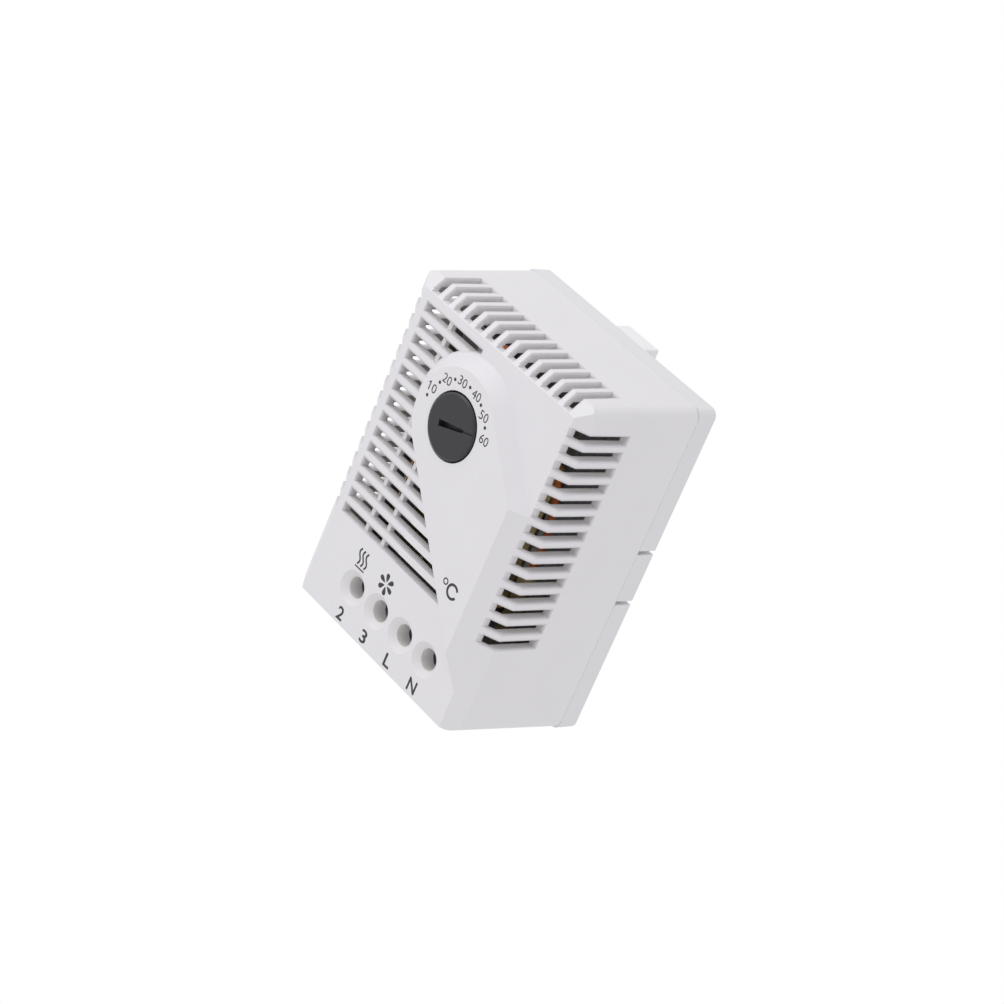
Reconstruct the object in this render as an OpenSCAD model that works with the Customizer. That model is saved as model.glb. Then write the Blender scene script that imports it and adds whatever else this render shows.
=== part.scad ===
// Mechanical cabinet thermostat for a 35 mm mounting rail, as an assembly of its separate pieces.
// X runs along the rail, Z is up as mounted, and the dial faces -Y.
// The origin is on the rail seat: mid-width, on the rail's front face, on the rail's centre line.

/* [Case] */
// Width of the case
case_w = 50; // [49:0.1:54]
// Height of the case as mounted
case_h = 67; // [66:0.1:70]
// Depth from the case's rear edge to the recessed front face
case_d = 30.3; // [30:0.1:34]
// Wall of the front hood
wall = 1.8; // [1.6:0.1:2]
// Rounding of the four edges that run front to back
corner_r = 2.4; // [1.5:0.1:3]
// Width of the bevel on the left, top and right front edges, seen from the front
bevel_w = 2.75; // [2.4:0.05:3.2]
// Depth of that bevel
bevel_d = 2.3; // [2:0.1:3]
// Angle by which the hood's sides lean inwards from the seam to the front
draft = 1.3; // [0.5:0.1:2]
// Rounding of the base's own four corners
base_corner_r = 1.6; // [1:0.1:2.4]
// Depth of the base's rim that shows behind the hood
rim_d = 4; // [3.6:0.1:4.6]
// Gap that shows as the line between hood and base
seam_gap = 0.05; // [0.05:0.05:0.3]

/* [Dial] */
// Height of the raised dial field above the recessed front
plateau_h = 2.6; // [2:0.1:3]
// Width of the slope round the dial field
plateau_slope = 2.3; // [1.8:0.1:2.8]
// Radius of the dial field's flat top round the knob
plateau_r = 10.4; // [10:0.1:11]
// Sideways offset of the knob's axis from mid-width
dial_x = -0.55; // [-1:0.05:0.5]
// Distance of the knob's axis below the case's top
dial_drop = 18.85; // [18.5:0.05:19.2]
// Radius of the knob's face
knob_r = 6; // [5.8:0.1:6.4]
// Height of the knob's face above the dial field
knob_proud = 0.4; // [0.3:0.1:1]
// Angle at which the knob's pointer rests, from the right and upwards
pointer_rest = 17; // [10:1:30]
// Turn of the knob from the top of its scale to the bottom
knob_turn = 154.5; // [120:0.5:170]

/* [Louvres] */
// Width of one slot
slot_w = 1.8; // [1.5:0.1:2]
// Height of the lowest side row above the case's bottom
louvre_low = 19.45; // [19.2:0.05:20]
// Distance from one row to the next
louvre_pitch = 3.19; // [3:0.01:3.25]
// Number of rows on the front and on each side
louvre_rows = 14; // [6:1:14]
// Left end of the front rows, from the case's left side
louvre_left = 5.3; // [5:0.1:7]
// Right end of the rows above the dial, from the case's left side
louvre_right = 21.7; // [18:0.1:23]
// Number of slots in the top
top_slots = 13; // [5:1:13]
// Distance from one top slot to the next
top_pitch = 3.18; // [3:0.01:3.3]
// Step from the bevel's front edge to the floor of the side slots
side_vent_step = -0.15; // [-0.3:0.05:0.3]
// Step from the bevel's upper edge to the floor of the top slots
top_vent_step = 0.15; // [-0.3:0.05:0.5]
// Distance behind the recessed front at which the side slots end
side_vent_end = 11.6; // [10:0.1:12]
// Distance behind the recessed front at which the top slots end
top_vent_end = 10.6; // [9:0.1:11]

/* [Terminals] */
// Distance from one terminal to the next
term_pitch = 7.5; // [7.4:0.05:7.8]
// Sideways offset of the row of four from mid-width
term_x = 1.15; // [0.5:0.05:1.8]
// Height of the terminal screws above the case's bottom
term_rise = 8.3; // [7.9:0.1:8.6]
// Radius of the hole that a screwdriver goes through
access_r = 2; // [1.8:0.05:2.3]
// Radius of that hole's countersink at the front face
access_mouth_r = 3.3; // [2.9:0.05:3.5]
// Radius of a terminal screw's head
screw_head_r = 1.9; // [1.7:0.05:2]
// Radius of a terminal screw's thread
screw_r = 1.5; // [1.4:0.05:1.6]
// Way that a clamp travels from open to shut
clamp_travel = 2.5; // [2:0.1:2.6]

/* [Rail] */
// Width of the mounting rail
rail_w = 35; // [35:35]
// Thickness of the rail's lip
rail_t = 1; // [1:0.1:1.5]
// Clearance round the rail's lip
rail_gap = 0.2; // [0.1:0.05:0.4]
// Width of the latch
latch_w = 8.6; // [8:0.1:10]
// Distance that the latch stands behind the case
latch_d = 3.7; // [3.6:0.1:4.6]
// Way that the latch slides to let go of the rail
latch_travel = 2.4; // [2.1:0.1:2.6]

/* [Mechanism] */
// Cam radius with the knob at the top of its scale
cam_r = 5; // [4.8:0.1:5.4]
// Rise of the cam over the whole turn of the knob
cam_rise = 0.6; // [0.4:0.05:0.7]
// Radius of the dial spindle
spindle_r = 2; // [1.8:0.1:2.2]
// Thickness of the bimetal strip
bimetal_t = 0.8; // [0.6:0.05:1]
// Thickness of the contact rails
rail_bar_t = 0.8; // [0.6:0.05:0.9]

/* [Hidden] */
$fn = 48;
// Cuts run past a face by this much
over = 1;
half_w = case_w / 2;
half_h = case_h / 2;

// Rail seat, case faces and seam along Y
seat_pad_h = 0.5;
seat_w = 32;
seat_h = 30;
rear_y = -seat_pad_h;
front_y = rear_y - case_d;
plateau_y = front_y - plateau_h;
seam_y = rear_y - rim_d;
inner_front_y = front_y + wall;

// Dial place
dial_z = half_h - dial_drop;

// Base
base_wall = 2;
spigot_gap = 0.15;
spigot_t = 1.2;
spigot_d = 3;
least_r = 0.6;
hook_x = 12.5;
hook_w = 7;
hook_t = 2.2;
hook_lip_t = 2;
hook_lap = 1.8;
tongue_z = -0.65;
tongue_h = 10.55;
tongue_slot_t = 0.8;
tongue_slot_d = 3.9;
round_step = 0.02;
nose_h = 0.6;
nose_l = 6;
nose_d = 1.2;
nose_back = 1.2;
nose_room = 0.3;

// Latch and its guides
latch_run_gap = 0.15;
latch_lap = 2;
latch_flange_w = 1.4;
latch_flange_t = 1.2;
latch_flange_low = 1.6;
latch_flange_l = 8.5;
guide_gap = 0.2;
guide_t = 1.4;
guide_stop_t = 1;
latch_slot_drop = 1.2;
latch_slot_h = 2.2;
latch_slot_w = 5;
latch_slot_d = 1.6;
pocket_w = 3.2;
pocket_d = 2.7;
pocket_low = 2;
post_t = 1.6;
spring_play = 0.1;
latch_spring_r = 1.1;
latch_wire_r = 0.2;
latch_spring_l = 7.2;
latch_spring_turns = 8;

// Frame and what stands on it
frame_y = -9;
frame_t = 2;
frame_side = 5;
frame_low = 3.6;
frame_top = 3.6;
frame_window_w = 16;
frame_window_h = 20;
frame_window_z = -8;
frame_screw_in = 3;
frame_screw_up = 20;
frame_screw_down = 10;
frame_post_r = 2.6;
frame_screw_r = 1.1;
frame_head_r = 2.2;
frame_head_t = 1.4;
frame_screw_l = 5;
frame_slot_w = 0.5;
frame_slot_d = 0.6;
press = 0.02;
run_gap = 0.08;

// Terminal block and clamps
block_l = 17.5;
block_end = 1.6;
chamber_w = 6.3;
chamber_h = 6;
block_low = 2.1;
block_top = 4;
cage_w = 5.8;
cage_h = 4.8;
cage_side = 0.7;
cage_web = 1.2;
cage_floor = 1;
cage_l = 8.8;
tab_w = 3.6;
tab_y = -14.6;
tab_reach = 2;
tab_play = 0.25;
head_t = 2;
head_room = 0.4;
head_play = 0.3;
tip_gap = 0.2;
head_slot_w = 0.7;
head_slot_d = 0.9;
funnel_w = 5;
funnel_d = 5;
funnel_y = -14.4;
sleeve_r = 3.3;
sleeve_gap = 0.3;
mouth_t = 1.1;

// Knob and spindle
knob_gap = 0.3;
flange_r = 7.6;
flange_t = 1;
flange_gap = 0.5;
hub_r = 3.5;
hub_l = 4.6;
knob_cap = 2;
driver_l = 6.2;
driver_w = 1.2;
driver_end_w = 0.7;
driver_d = 1.4;
groove_w = 0.4;
groove_d = 0.3;
knob_edge = 0.35;
cam_y = -19;
cam_t = 3;
cam_back_share = 0.88;
cam_step_angle = 6;
cam_fall_angle = 300;
spindle_tail = 2.4;
bush_r = 3.4;
bush_flange_r = 4;
bush_flange_t = 1;
bush_l = 6;
circlip_r = 3.4;
circlip_t = 0.6;
washer_t = 0.3;
washer_w = 0.7;
ring_gap = 0.25;

// Set lever
pivot_x = -11;
pivot_drop = 9.5;
pivot_r = 1;
pivot_head_r = 1.7;
pivot_head_t = 0.8;
lever_hub_r = 2.4;
lever_y = -21;
lever_w = 7;
lever_post_r = 2.4;
lever_play = 0.3;
follower_gap = 0.1;
cal_screw_r = 1.25;
cal_screw_l = 3.8;
cal_boss_w = 2.4;
cal_boss_x = 2.6;
cal_boss_h = 4.4;
cal_boss_d = 4;
pad_t = 1.4;
pad_h = 5.8;
tail_l = 7;
tail_t = 1.6;
lever_spring_r = 1.3;
lever_wire_r = 0.2;
lever_spring_l = 3.8;
lever_spring_turns = 5;
bracket_t = 1.5;
bracket_w = 4;
bracket_peg_r = 0.7;
bracket_peg_l = 1.2;

// Bimetal strip
bimetal_tip = 1.65;
bimetal_w = 7;
rivet_r = 0.8;
rivet_head_r = 1.5;
rivet_head_t = 0.5;
rivet_reach_shares = [0.22, 0.68];

// Snap switch
blade_x = -18.5;
blade_t = 0.3;
blade_w = 5;
blade_y = -20;
blade_anchor_drop = 6.65;
blade_tail = 2;
blade_top = 2.5;
blade_window_w = 2.2;
blade_window_l = 4.5;
contact_r = 1.4;
contact_t = 0.75;
contact_rise = 11.2;
contact_gap = 0.92;
contact_touch = 0.05;
pin_r = 1;
pin_share = 5 / 11;
pin_play = 0.1;
pin_guide_t = 1.5;
pin_guide_h = 4.4;
tip_room = 0.15;
stand_reach = 0.8;

// Feedback resistor and leads
resistor_r = 1.6;
resistor_l = 10;
resistor_y = -17;
resistor_z = -3;
resistor_cap_l = 1.6;
resistor_cap_r = 1.8;
lead_r = 0.35;
lead_l = 4;
jumper_r = 0.7;
jumper_sides = 8;
jumper_steps = 5;

// Inner ribs behind the front louvres
rib_t = 0.9;
rib_d = 2.4;
rib_left = 11.2;
rib_mid = 16.2;
rib_rise = 1.6;
louvre_land = 0.4;
// The straight edges of the land stay this far inside the round one's tangent
land_slack = 0.03;

// Places worked out from the sizes above
term_z = term_rise - half_h;
pivot_z = half_h - pivot_drop;
frame_back_y = frame_y + frame_t;
frame_w = case_w - 2 * frame_side;
frame_screw_x = frame_w / 2 - frame_screw_in;
block_front_y = frame_y - block_l;
tab_z = term_z - tab_reach;
cage_back_y = frame_y - cage_floor;
cage_front_y = cage_back_y - cage_l;
chamber_front_y = cage_front_y - clamp_travel - tab_play;
latch_low = rail_w / 2 + rail_gap;
latch_y = rear_y + latch_run_gap;
latch_back_y = rear_y + latch_d;
cam_x = dial_x - cam_r - follower_gap;
blade_anchor_z = dial_z - blade_anchor_drop;
contact_z = term_z + contact_rise;
pin_z = contact_z + pin_share * (blade_anchor_z - contact_z);
lever_arm = pivot_z - dial_z;
lever_turn = atan(cam_rise / lever_arm);
bimetal_x = pivot_x - pad_t - bimetal_t;
bimetal_top_z = pivot_z - lever_hub_r - tab_play;
tip_shift = (pivot_z - pin_z) * tan(lever_turn);
pin_right_x = bimetal_x - tip_shift - tip_room;
pin_left_x = blade_x + blade_t / 2 + pin_play;
blade_mid_y = blade_y + blade_w / 2;
heat_face_x = blade_x + blade_t / 2 + contact_t + contact_touch;
cool_face_x = blade_x - blade_t / 2 - contact_t - contact_gap - contact_touch;
tail_z = pivot_z + tail_t / 2;
lever_spring_x = pivot_x - tail_l + bracket_w / 2;
bracket_z = tail_z + lever_spring_l + spring_play * 2;
cross_y = frame_y - rail_bar_t * 2;
neutral_top_z = term_z + 2 * cage_l;

// A box given by its lowest and highest place on each axis
module box(x0, x1, y0, y1, z0, z1) {
    translate([x0, y0, z0]) cube([x1 - x0, y1 - y0, z1 - z0]);
}

// An outline drawn in X and Z, made solid from y0 to y1
module y_prism(y0, y1) {
    translate([0, y1, 0]) rotate([90, 0, 0]) linear_extrude(y1 - y0) children();
}

// An outline drawn in Y and Z, made solid from x0 to x1
module x_prism(x0, x1) {
    translate([x0, 0, 0]) rotate([90, 0, 90]) linear_extrude(x1 - x0) children();
}

// A round bar along Y, or a cone where the second radius differs
module y_bar(x, z, y0, y1, r0, r1 = undef) {
    translate([x, y0, z]) rotate([-90, 0, 0]) cylinder(h = y1 - y0, r1 = r0, r2 = is_undef(r1) ? r0 : r1);
}

// A round bar along X
module x_bar(y, z, x0, x1, r) {
    translate([x0, y, z]) rotate([0, 90, 0]) cylinder(h = x1 - x0, r = r);
}

// A rectangle with rounded corners, centred
module round_rect(w, h, r) {
    square([w - 2 * r, h], center = true);
    square([w, h - 2 * r], center = true);
    for (sx = [-1, 1], sz = [-1, 1]) translate([sx * (w / 2 - r), sz * (h / 2 - r)]) circle(r);
}

// The dial field: a 45 degree stadium that starts round the knob and runs down to the right
module dial_field(inset) {
    top_y = plateau_y + inset;
    foot_y = front_y + inset + over;
    lean = plateau_slope / plateau_h;
    top_r = plateau_r - inset * (sqrt(1 + lean * lean) - lean);
    foot_r = top_r + (foot_y - top_y) * lean;
    y_bar(dial_x, dial_z, top_y, foot_y, top_r, foot_r);
    translate([dial_x, 0, dial_z]) rotate([0, 45, 0]) x_prism(0, case_w)
        polygon([[top_y, -top_r], [top_y, top_r], [foot_y, foot_r], [foot_y, -foot_r]]);
}

// Half of the hood's width or height at one place along Y: full at the seam, less in front of it
function drawn(half, y) = half - (seam_y - y) * tan(draft);

// The hood's outer form before its rounding, or its hollow when drawn in by the wall
module hood_form(inset, back_y) {
    top_y = plateau_y + inset;
    kink_y = front_y + bevel_d;
    end_y = back_y + over;
    leg = (kink_y - top_y) * bevel_w / bevel_d;
    kink_x = drawn(half_w, kink_y) - inset;
    kink_z = drawn(half_h, kink_y) - inset;
    end_x = drawn(half_w, end_y) - inset;
    end_z = drawn(half_h, end_y) - inset;
    intersection() {
        translate([0, 0, -half_h - over]) linear_extrude(case_h + 2 * over) polygon([
            [leg - kink_x, top_y], [kink_x - leg, top_y], [kink_x, kink_y],
            [end_x, end_y], [-end_x, end_y], [-kink_x, kink_y]]);
        x_prism(-half_w - over, half_w + over) polygon([
            [top_y, inset - drawn(half_h, top_y)], [top_y, kink_z - leg], [kink_y, kink_z],
            [end_y, end_z], [end_y, -end_z]]);
        union() {
            box(-half_w - over, half_w + over, front_y + inset, back_y, -half_h - over, half_h + over);
            dial_field(inset);
        }
    }
}

// What is cut off the four edges that run front to back, leaning with the hood's sides
module edge_rounds() {
    back_y = seam_y + over;
    reach = corner_r + over;
    x = drawn(half_w, back_y) - corner_r + round_step;
    z = drawn(half_h, back_y) - corner_r + round_step;
    for (sx = [-1, 1], sz = [-1, 1])
        translate([sx * x, back_y, sz * z]) rotate([90 + sz * draft, 0, -sx * draft])
            linear_extrude(back_y - plateau_y + over) difference() {
                translate([sx * reach / 2, sz * reach / 2]) square(reach, center = true);
                circle(corner_r);
            }
}

function row_z(i) = louvre_low - half_h + i * louvre_pitch;

function term_place(i) = term_x + (i - 3 / 2) * term_pitch;

// Slots of the front, which stop at the foot of the dial field
module front_slots() {
    end_r = plateau_r + plateau_slope + louvre_land;
    difference() {
        for (i = [0 : louvre_rows - 1])
            box(louvre_left - half_w, max(louvre_right - half_w, dial_x + dial_z - row_z(i)),
                front_y - over, inner_front_y + over, row_z(i) - slot_w / 2, row_z(i) + slot_w / 2);
        y_bar(dial_x, dial_z, front_y - 2 * over, inner_front_y + 2 * over, end_r);
        translate([dial_x, 0, dial_z]) rotate([0, 45, 0])
            box(0, case_w, front_y - 2 * over, inner_front_y + 2 * over, land_slack - end_r, end_r - land_slack);
    }
}

// How far out the floor of a slot lies that wraps the bevel
function vent_floor(half, step) = drawn(half, front_y + bevel_d) - bevel_w + step;

// Slots of one side, which wrap the bevel
module side_slots() {
    for (i = [0 : louvre_rows - 1])
        box(vent_floor(half_w, side_vent_step), half_w + over, front_y - over, front_y + side_vent_end,
            row_z(i) - slot_w / 2, row_z(i) + slot_w / 2);
}

// Slots of the top, which wrap the bevel
module top_vents() {
    for (i = [0 : top_slots - 1]) {
        x = (i - (top_slots - 1) / 2) * top_pitch;
        box(x - slot_w / 2, x + slot_w / 2, front_y - over, front_y + top_vent_end,
            vent_floor(half_h, top_vent_step), half_h + over);
    }
}

// Front hood: the moulded shell with its louvres, dial field and screwdriver holes
module front_hood() {
    low_z = row_z(0) - rib_rise;
    color([0.91, 0.91, 0.92]) difference() {
        union() {
            difference() {
                hood_form(0, seam_y - seam_gap);
                hood_form(wall, seam_y + over);
                edge_rounds();
                front_slots();
                side_slots();
                mirror([1, 0, 0]) side_slots();
                top_vents();
                for (i = [0 : 3])
                    box(term_place(i) - funnel_w / 2, term_place(i) + funnel_w / 2,
                        funnel_y, funnel_y + funnel_d, -half_h - over, wall + over - half_h);
                for (s = [0, 1]) mirror([s, 0, 0])
                    box(half_w - wall - over, half_w - wall + nose_h + nose_room,
                        seam_y - nose_back - nose_d - nose_room, seam_y - nose_back + nose_room,
                        tongue_z - nose_l / 2 - nose_room, tongue_z + nose_l / 2 + nose_room);
            }
            box(rib_left - half_w, rib_left - half_w + rib_t,
                inner_front_y - rib_t, inner_front_y + rib_d, low_z, row_z(louvre_rows - 1) + rib_rise);
            box(rib_mid - half_w, rib_mid - half_w + rib_t,
                inner_front_y - rib_t, inner_front_y + rib_d, low_z, dial_z - plateau_r);
            for (i = [0 : 3])
                y_bar(term_place(i), term_z, inner_front_y - mouth_t / 2, block_front_y - sleeve_gap, sleeve_r);
        }
        for (i = [0 : 3]) {
            y_bar(term_place(i), term_z, front_y, front_y + mouth_t, access_mouth_r, access_r);
            y_bar(term_place(i), term_z, front_y - over, front_y, access_mouth_r);
            y_bar(term_place(i), term_z, front_y, block_front_y, access_r);
        }
        y_bar(dial_x, dial_z, plateau_y - over, plateau_y + wall + over, knob_r + knob_gap);
    }
}

// One rail hook of the base: a foot below the rail and a lip behind it
module rail_hook(x) {
    foot_z = -rail_w / 2 - rail_gap;
    lip_y = rail_t + rail_gap;
    box(x - hook_w / 2, x + hook_w / 2, rear_y - base_wall / 2, lip_y + hook_lip_t, foot_z - hook_t, foot_z);
    box(x - hook_w / 2, x + hook_w / 2, lip_y, lip_y + hook_lip_t, foot_z - hook_t, hook_lap - rail_w / 2);
}

// One L-shaped guide that holds the latch's flange
module latch_guide() {
    low_z = latch_low + latch_flange_low - guide_gap;
    top_z = low_z + latch_flange_l + latch_travel + 2 * guide_gap;
    wall_x = latch_w / 2 + latch_flange_w + guide_gap;
    lip_y = latch_y + latch_flange_t + guide_gap;
    box(wall_x, wall_x + guide_t, rear_y - base_wall / 2, lip_y + guide_t, low_z, top_z);
    box(latch_w / 2 + guide_gap, wall_x + guide_t, lip_y, lip_y + guide_t, low_z, top_z);
    box(latch_w / 2 + guide_gap, wall_x + guide_t, rear_y - base_wall / 2, lip_y + guide_t,
        top_z, top_z + guide_stop_t);
}

// Rear base: tray, spigot, snap tongues, rail seat, hooks and the posts for the frame
module rear_base() {
    spigot_in = wall + spigot_gap;
    hollow_in = spigot_in + spigot_t;
    side_x = half_w - spigot_in;
    inner_y = rear_y - base_wall;
    post_z = latch_low + pocket_low + latch_spring_l + spring_play * 2;
    color([0.9, 0.9, 0.91]) {
        difference() {
            union() {
                y_prism(seam_y, rear_y) round_rect(case_w, case_h, base_corner_r);
                y_prism(seam_y - spigot_d, inner_y)
                    round_rect(case_w - 2 * spigot_in, case_h - 2 * spigot_in, least_r);
                for (s = [0, 1]) mirror([s, 0, 0])
                    box(side_x - spigot_t / 2, half_w - wall + nose_h,
                        seam_y - nose_back - nose_d, seam_y - nose_back,
                        tongue_z - nose_l / 2, tongue_z + nose_l / 2);
            }
            y_prism(seam_y - spigot_d - over, inner_y)
                round_rect(case_w - 2 * hollow_in, case_h - 2 * hollow_in, least_r);
            for (s = [0, 1], e = [-1, 1]) mirror([s, 0, 0])
                box(half_w - tongue_slot_d, half_w + over, seam_y, rear_y + over,
                    tongue_z + e * tongue_h / 2 - tongue_slot_t / 2,
                    tongue_z + e * tongue_h / 2 + tongue_slot_t / 2);
            for (s = [0, 1]) mirror([s, 0, 0])
                box(half_w - tongue_slot_d, half_w - tongue_slot_d + tongue_slot_t, inner_y - over,
                    rear_y + over, tongue_z - tongue_h / 2, tongue_z + tongue_h / 2);
            for (i = [0 : 3])
                box(term_place(i) - funnel_w / 2, term_place(i) + funnel_w / 2,
                    funnel_y, funnel_y + funnel_d, -half_h - over, hollow_in + over - half_h);
        }
        box(-seat_w / 2, seat_w / 2, rear_y - base_wall / 2, 0, -seat_h / 2, seat_h / 2);
        for (s = [-1, 1]) rail_hook(s * hook_x);
        latch_guide();
        mirror([1, 0, 0]) latch_guide();
        box(-pocket_w / 2 + guide_gap, pocket_w / 2 - guide_gap, rear_y - base_wall / 2,
            latch_y + pocket_d - guide_gap, post_z, post_z + post_t);
        for (sx = [-1, 1], z = [frame_screw_up, -frame_screw_down]) difference() {
            y_bar(sx * frame_screw_x, z, frame_back_y, rear_y - base_wall / 2, frame_post_r);
            y_bar(sx * frame_screw_x, z, frame_back_y - over, inner_y, frame_screw_r);
        }
    }
}

// Rail latch: slides up behind the case, its nose catches the rail's upper lip
module rail_latch() {
    nose_y = rail_t + rail_gap;
    flange_z = latch_low + latch_flange_low;
    slot_z = half_h - latch_slot_drop;
    color([0.88, 0.88, 0.89]) difference() {
        union() {
            box(-latch_w / 2, latch_w / 2, latch_y, latch_back_y, latch_low, half_h);
            x_prism(-latch_w / 2, latch_w / 2) polygon([
                [nose_y, latch_low], [nose_y, rail_w / 2 - latch_lap / 2], [latch_back_y, rail_w / 2 - latch_lap],
                [latch_back_y, latch_low]]);
            box(-latch_w / 2 - latch_flange_w, latch_w / 2 + latch_flange_w, latch_y, latch_y + latch_flange_t,
                flange_z, flange_z + latch_flange_l);
        }
        box(-pocket_w / 2, pocket_w / 2, latch_y - over, latch_y + pocket_d, latch_low + pocket_low,
            latch_low + pocket_low + latch_spring_l + 3 * spring_play + post_t + guide_gap);
        box(-latch_slot_w / 2, latch_slot_w / 2, latch_back_y - latch_slot_d, latch_back_y + over,
            slot_z - latch_slot_h, slot_z);
    }
}

// A coil spring along Z that starts at the origin, swept as one tube with closed ends
module coil(r, wire_r, length, turns) {
    per_turn = 10;
    sides = 6;
    rings = turns * per_turn;
    rise = length - 2 * wire_r;
    function ring_point(i, j) =
        let (a = 360 * i / per_turn, b = 360 * j / sides, q = r - wire_r + wire_r * cos(b))
        [q * cos(a), q * sin(a), wire_r + rise * i / rings + wire_r * sin(b)];
    points = [for (i = [0 : rings], j = [0 : sides - 1]) ring_point(i, j)];
    skin = [for (i = [0 : rings - 1], j = [0 : sides - 1]) let (k = (j + 1) % sides)
        each [[i * sides + j, i * sides + k, (i + 1) * sides + k],
              [i * sides + j, (i + 1) * sides + k, (i + 1) * sides + j]]];
    start = [for (j = [1 : sides - 2]) [0, j + 1, j]];
    last = rings * sides;
    end = [for (j = [1 : sides - 2]) [last, last + j, last + j + 1]];
    polyhedron(points, concat(skin, start, end));
}

// Latch spring: pushes the latch down onto the rail, against the base's post
module latch_spring() {
    color([0.72, 0.73, 0.75])
        translate([0, latch_y + pocket_d / 2, latch_low + pocket_low + spring_play])
            coil(latch_spring_r, latch_wire_r, latch_spring_l, latch_spring_turns);
}

// Adjusting knob: cap with a screwdriver slot and pointer groove, retaining flange and hub
module adjusting_knob() {
    face_y = plateau_y - knob_proud;
    flange_y = plateau_y + wall + flange_gap;
    hub_end_y = flange_y + flange_t + hub_l;
    color([0.16, 0.16, 0.17]) difference() {
        union() {
            y_bar(dial_x, dial_z, face_y, face_y + knob_edge, knob_r - knob_edge, knob_r);
            y_bar(dial_x, dial_z, face_y + knob_edge, flange_y, knob_r);
            y_bar(dial_x, dial_z, flange_y, flange_y + flange_t, flange_r);
            y_bar(dial_x, dial_z, flange_y, hub_end_y, hub_r);
        }
        y_bar(dial_x, dial_z, face_y + knob_cap, hub_end_y + over, spindle_r + press);
        translate([dial_x, 0, dial_z]) rotate([0, -pointer_rest, 0]) {
            y_prism(face_y - over, face_y + driver_d) polygon([
                [-driver_l / 2, driver_w / 2], [driver_l / 2, driver_end_w / 2],
                [driver_l / 2, -driver_end_w / 2], [-driver_l / 2, -driver_w / 2]]);
            box(0, knob_r + over, face_y - over, face_y + groove_d, -groove_w / 2, groove_w / 2);
        }
    }
}

// Cam outline: radius grows clockwise from the follower's side, then falls back to the start
function cam_reach(a) =
    let (turned = (540 - a) % 360)
    turned <= knob_turn ? cam_r + cam_rise * turned / knob_turn
        : cam_r * cam_back_share + (cam_r * (1 - cam_back_share))
            * max(0, (turned - cam_fall_angle) / (360 - cam_fall_angle));

// Dial spindle with its spiral cam
module cam_spindle() {
    face_y = plateau_y - knob_proud;
    color([0.8, 0.7, 0.42]) {
        y_bar(dial_x, dial_z, face_y + knob_cap + press, frame_back_y + spindle_tail, spindle_r);
        translate([dial_x, 0, dial_z]) y_prism(cam_y, cam_y + cam_t)
            polygon([for (a = [0 : cam_step_angle : 360 - cam_step_angle]) cam_reach(a) * [cos(a), sin(a)]]);
    }
}

// Spindle bush, pressed into the frame
module spindle_bush() {
    color([0.75, 0.62, 0.35]) difference() {
        union() {
            y_bar(dial_x, dial_z, frame_back_y - bush_l, frame_back_y, bush_r);
            y_bar(dial_x, dial_z, frame_y - bush_flange_t, frame_y, bush_flange_r);
        }
        y_bar(dial_x, dial_z, frame_back_y - bush_l - over, frame_back_y + over, spindle_r + run_gap);
    }
}

// Ring that keeps the spindle in its bush
module spindle_circlip() {
    ring_y = frame_back_y + ring_gap;
    color([0.5, 0.5, 0.52]) difference() {
        y_bar(dial_x, dial_z, ring_y, ring_y + circlip_t, circlip_r);
        y_bar(dial_x, dial_z, ring_y - over, ring_y + circlip_t + over, spindle_r + press);
        box(dial_x - spindle_r * sqrt(2) / 2, dial_x + spindle_r * sqrt(2) / 2,
            ring_y - over, ring_y + circlip_t + over, dial_z - circlip_r - over, dial_z);
    }
}

// Drag washer round the knob, between its flange and the inside of the dial field
module knob_washer() {
    back_y = plateau_y + wall + flange_gap - press;
    color([0.7, 0.7, 0.72]) difference() {
        y_bar(dial_x, dial_z, back_y - washer_t, back_y, knob_r + knob_gap + washer_w);
        y_bar(dial_x, dial_z, back_y - washer_t - over, back_y + over, knob_r + knob_gap);
    }
}

// Mechanism frame: plate that carries the bush, lever post, pin guide, spring bracket and block
module mechanism_frame() {
    low_z = frame_low - half_h;
    post_y = lever_y + lever_w + lever_play;
    guide_x = (pin_left_x + pin_right_x) / 2;
    color([0.82, 0.82, 0.8]) difference() {
        union() {
            box(-frame_w / 2, frame_w / 2, frame_y, frame_back_y, low_z, half_h - frame_top);
            y_bar(pivot_x, pivot_z, post_y, frame_back_y, lever_post_r);
            box(guide_x - pin_guide_t / 2, guide_x + pin_guide_t / 2, blade_mid_y - pin_guide_h / 2, frame_y + over,
                pin_z - pin_guide_h / 2, pin_z + pin_guide_h / 2);
            box(lever_spring_x - bracket_w / 2, lever_spring_x + bracket_w / 2,
                lever_y + lever_w / 2 - bracket_w / 2, frame_y + over, bracket_z, bracket_z + bracket_t);
            translate([lever_spring_x, lever_y + lever_w / 2, bracket_z - bracket_peg_l])
                cylinder(h = bracket_peg_l + bracket_t / 2, r = bracket_peg_r);
        }
        y_bar(dial_x, dial_z, frame_y - over, frame_back_y + over, bush_r);
        y_bar(pivot_x, pivot_z, post_y - over, frame_back_y + over, pivot_r + press);
        x_bar(blade_mid_y, pin_z, guide_x - pin_guide_t, guide_x + pin_guide_t, pin_r + run_gap);
        for (sx = [-1, 1], z = [frame_screw_up, -frame_screw_down])
            y_bar(sx * frame_screw_x, z, frame_y - over, frame_back_y + over, frame_screw_r + run_gap);
        box(-frame_window_w / 2, frame_window_w / 2, frame_y - over, frame_back_y + over,
            frame_window_z - frame_window_h / 2, frame_window_z + frame_window_h / 2);
    }
}

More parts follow.
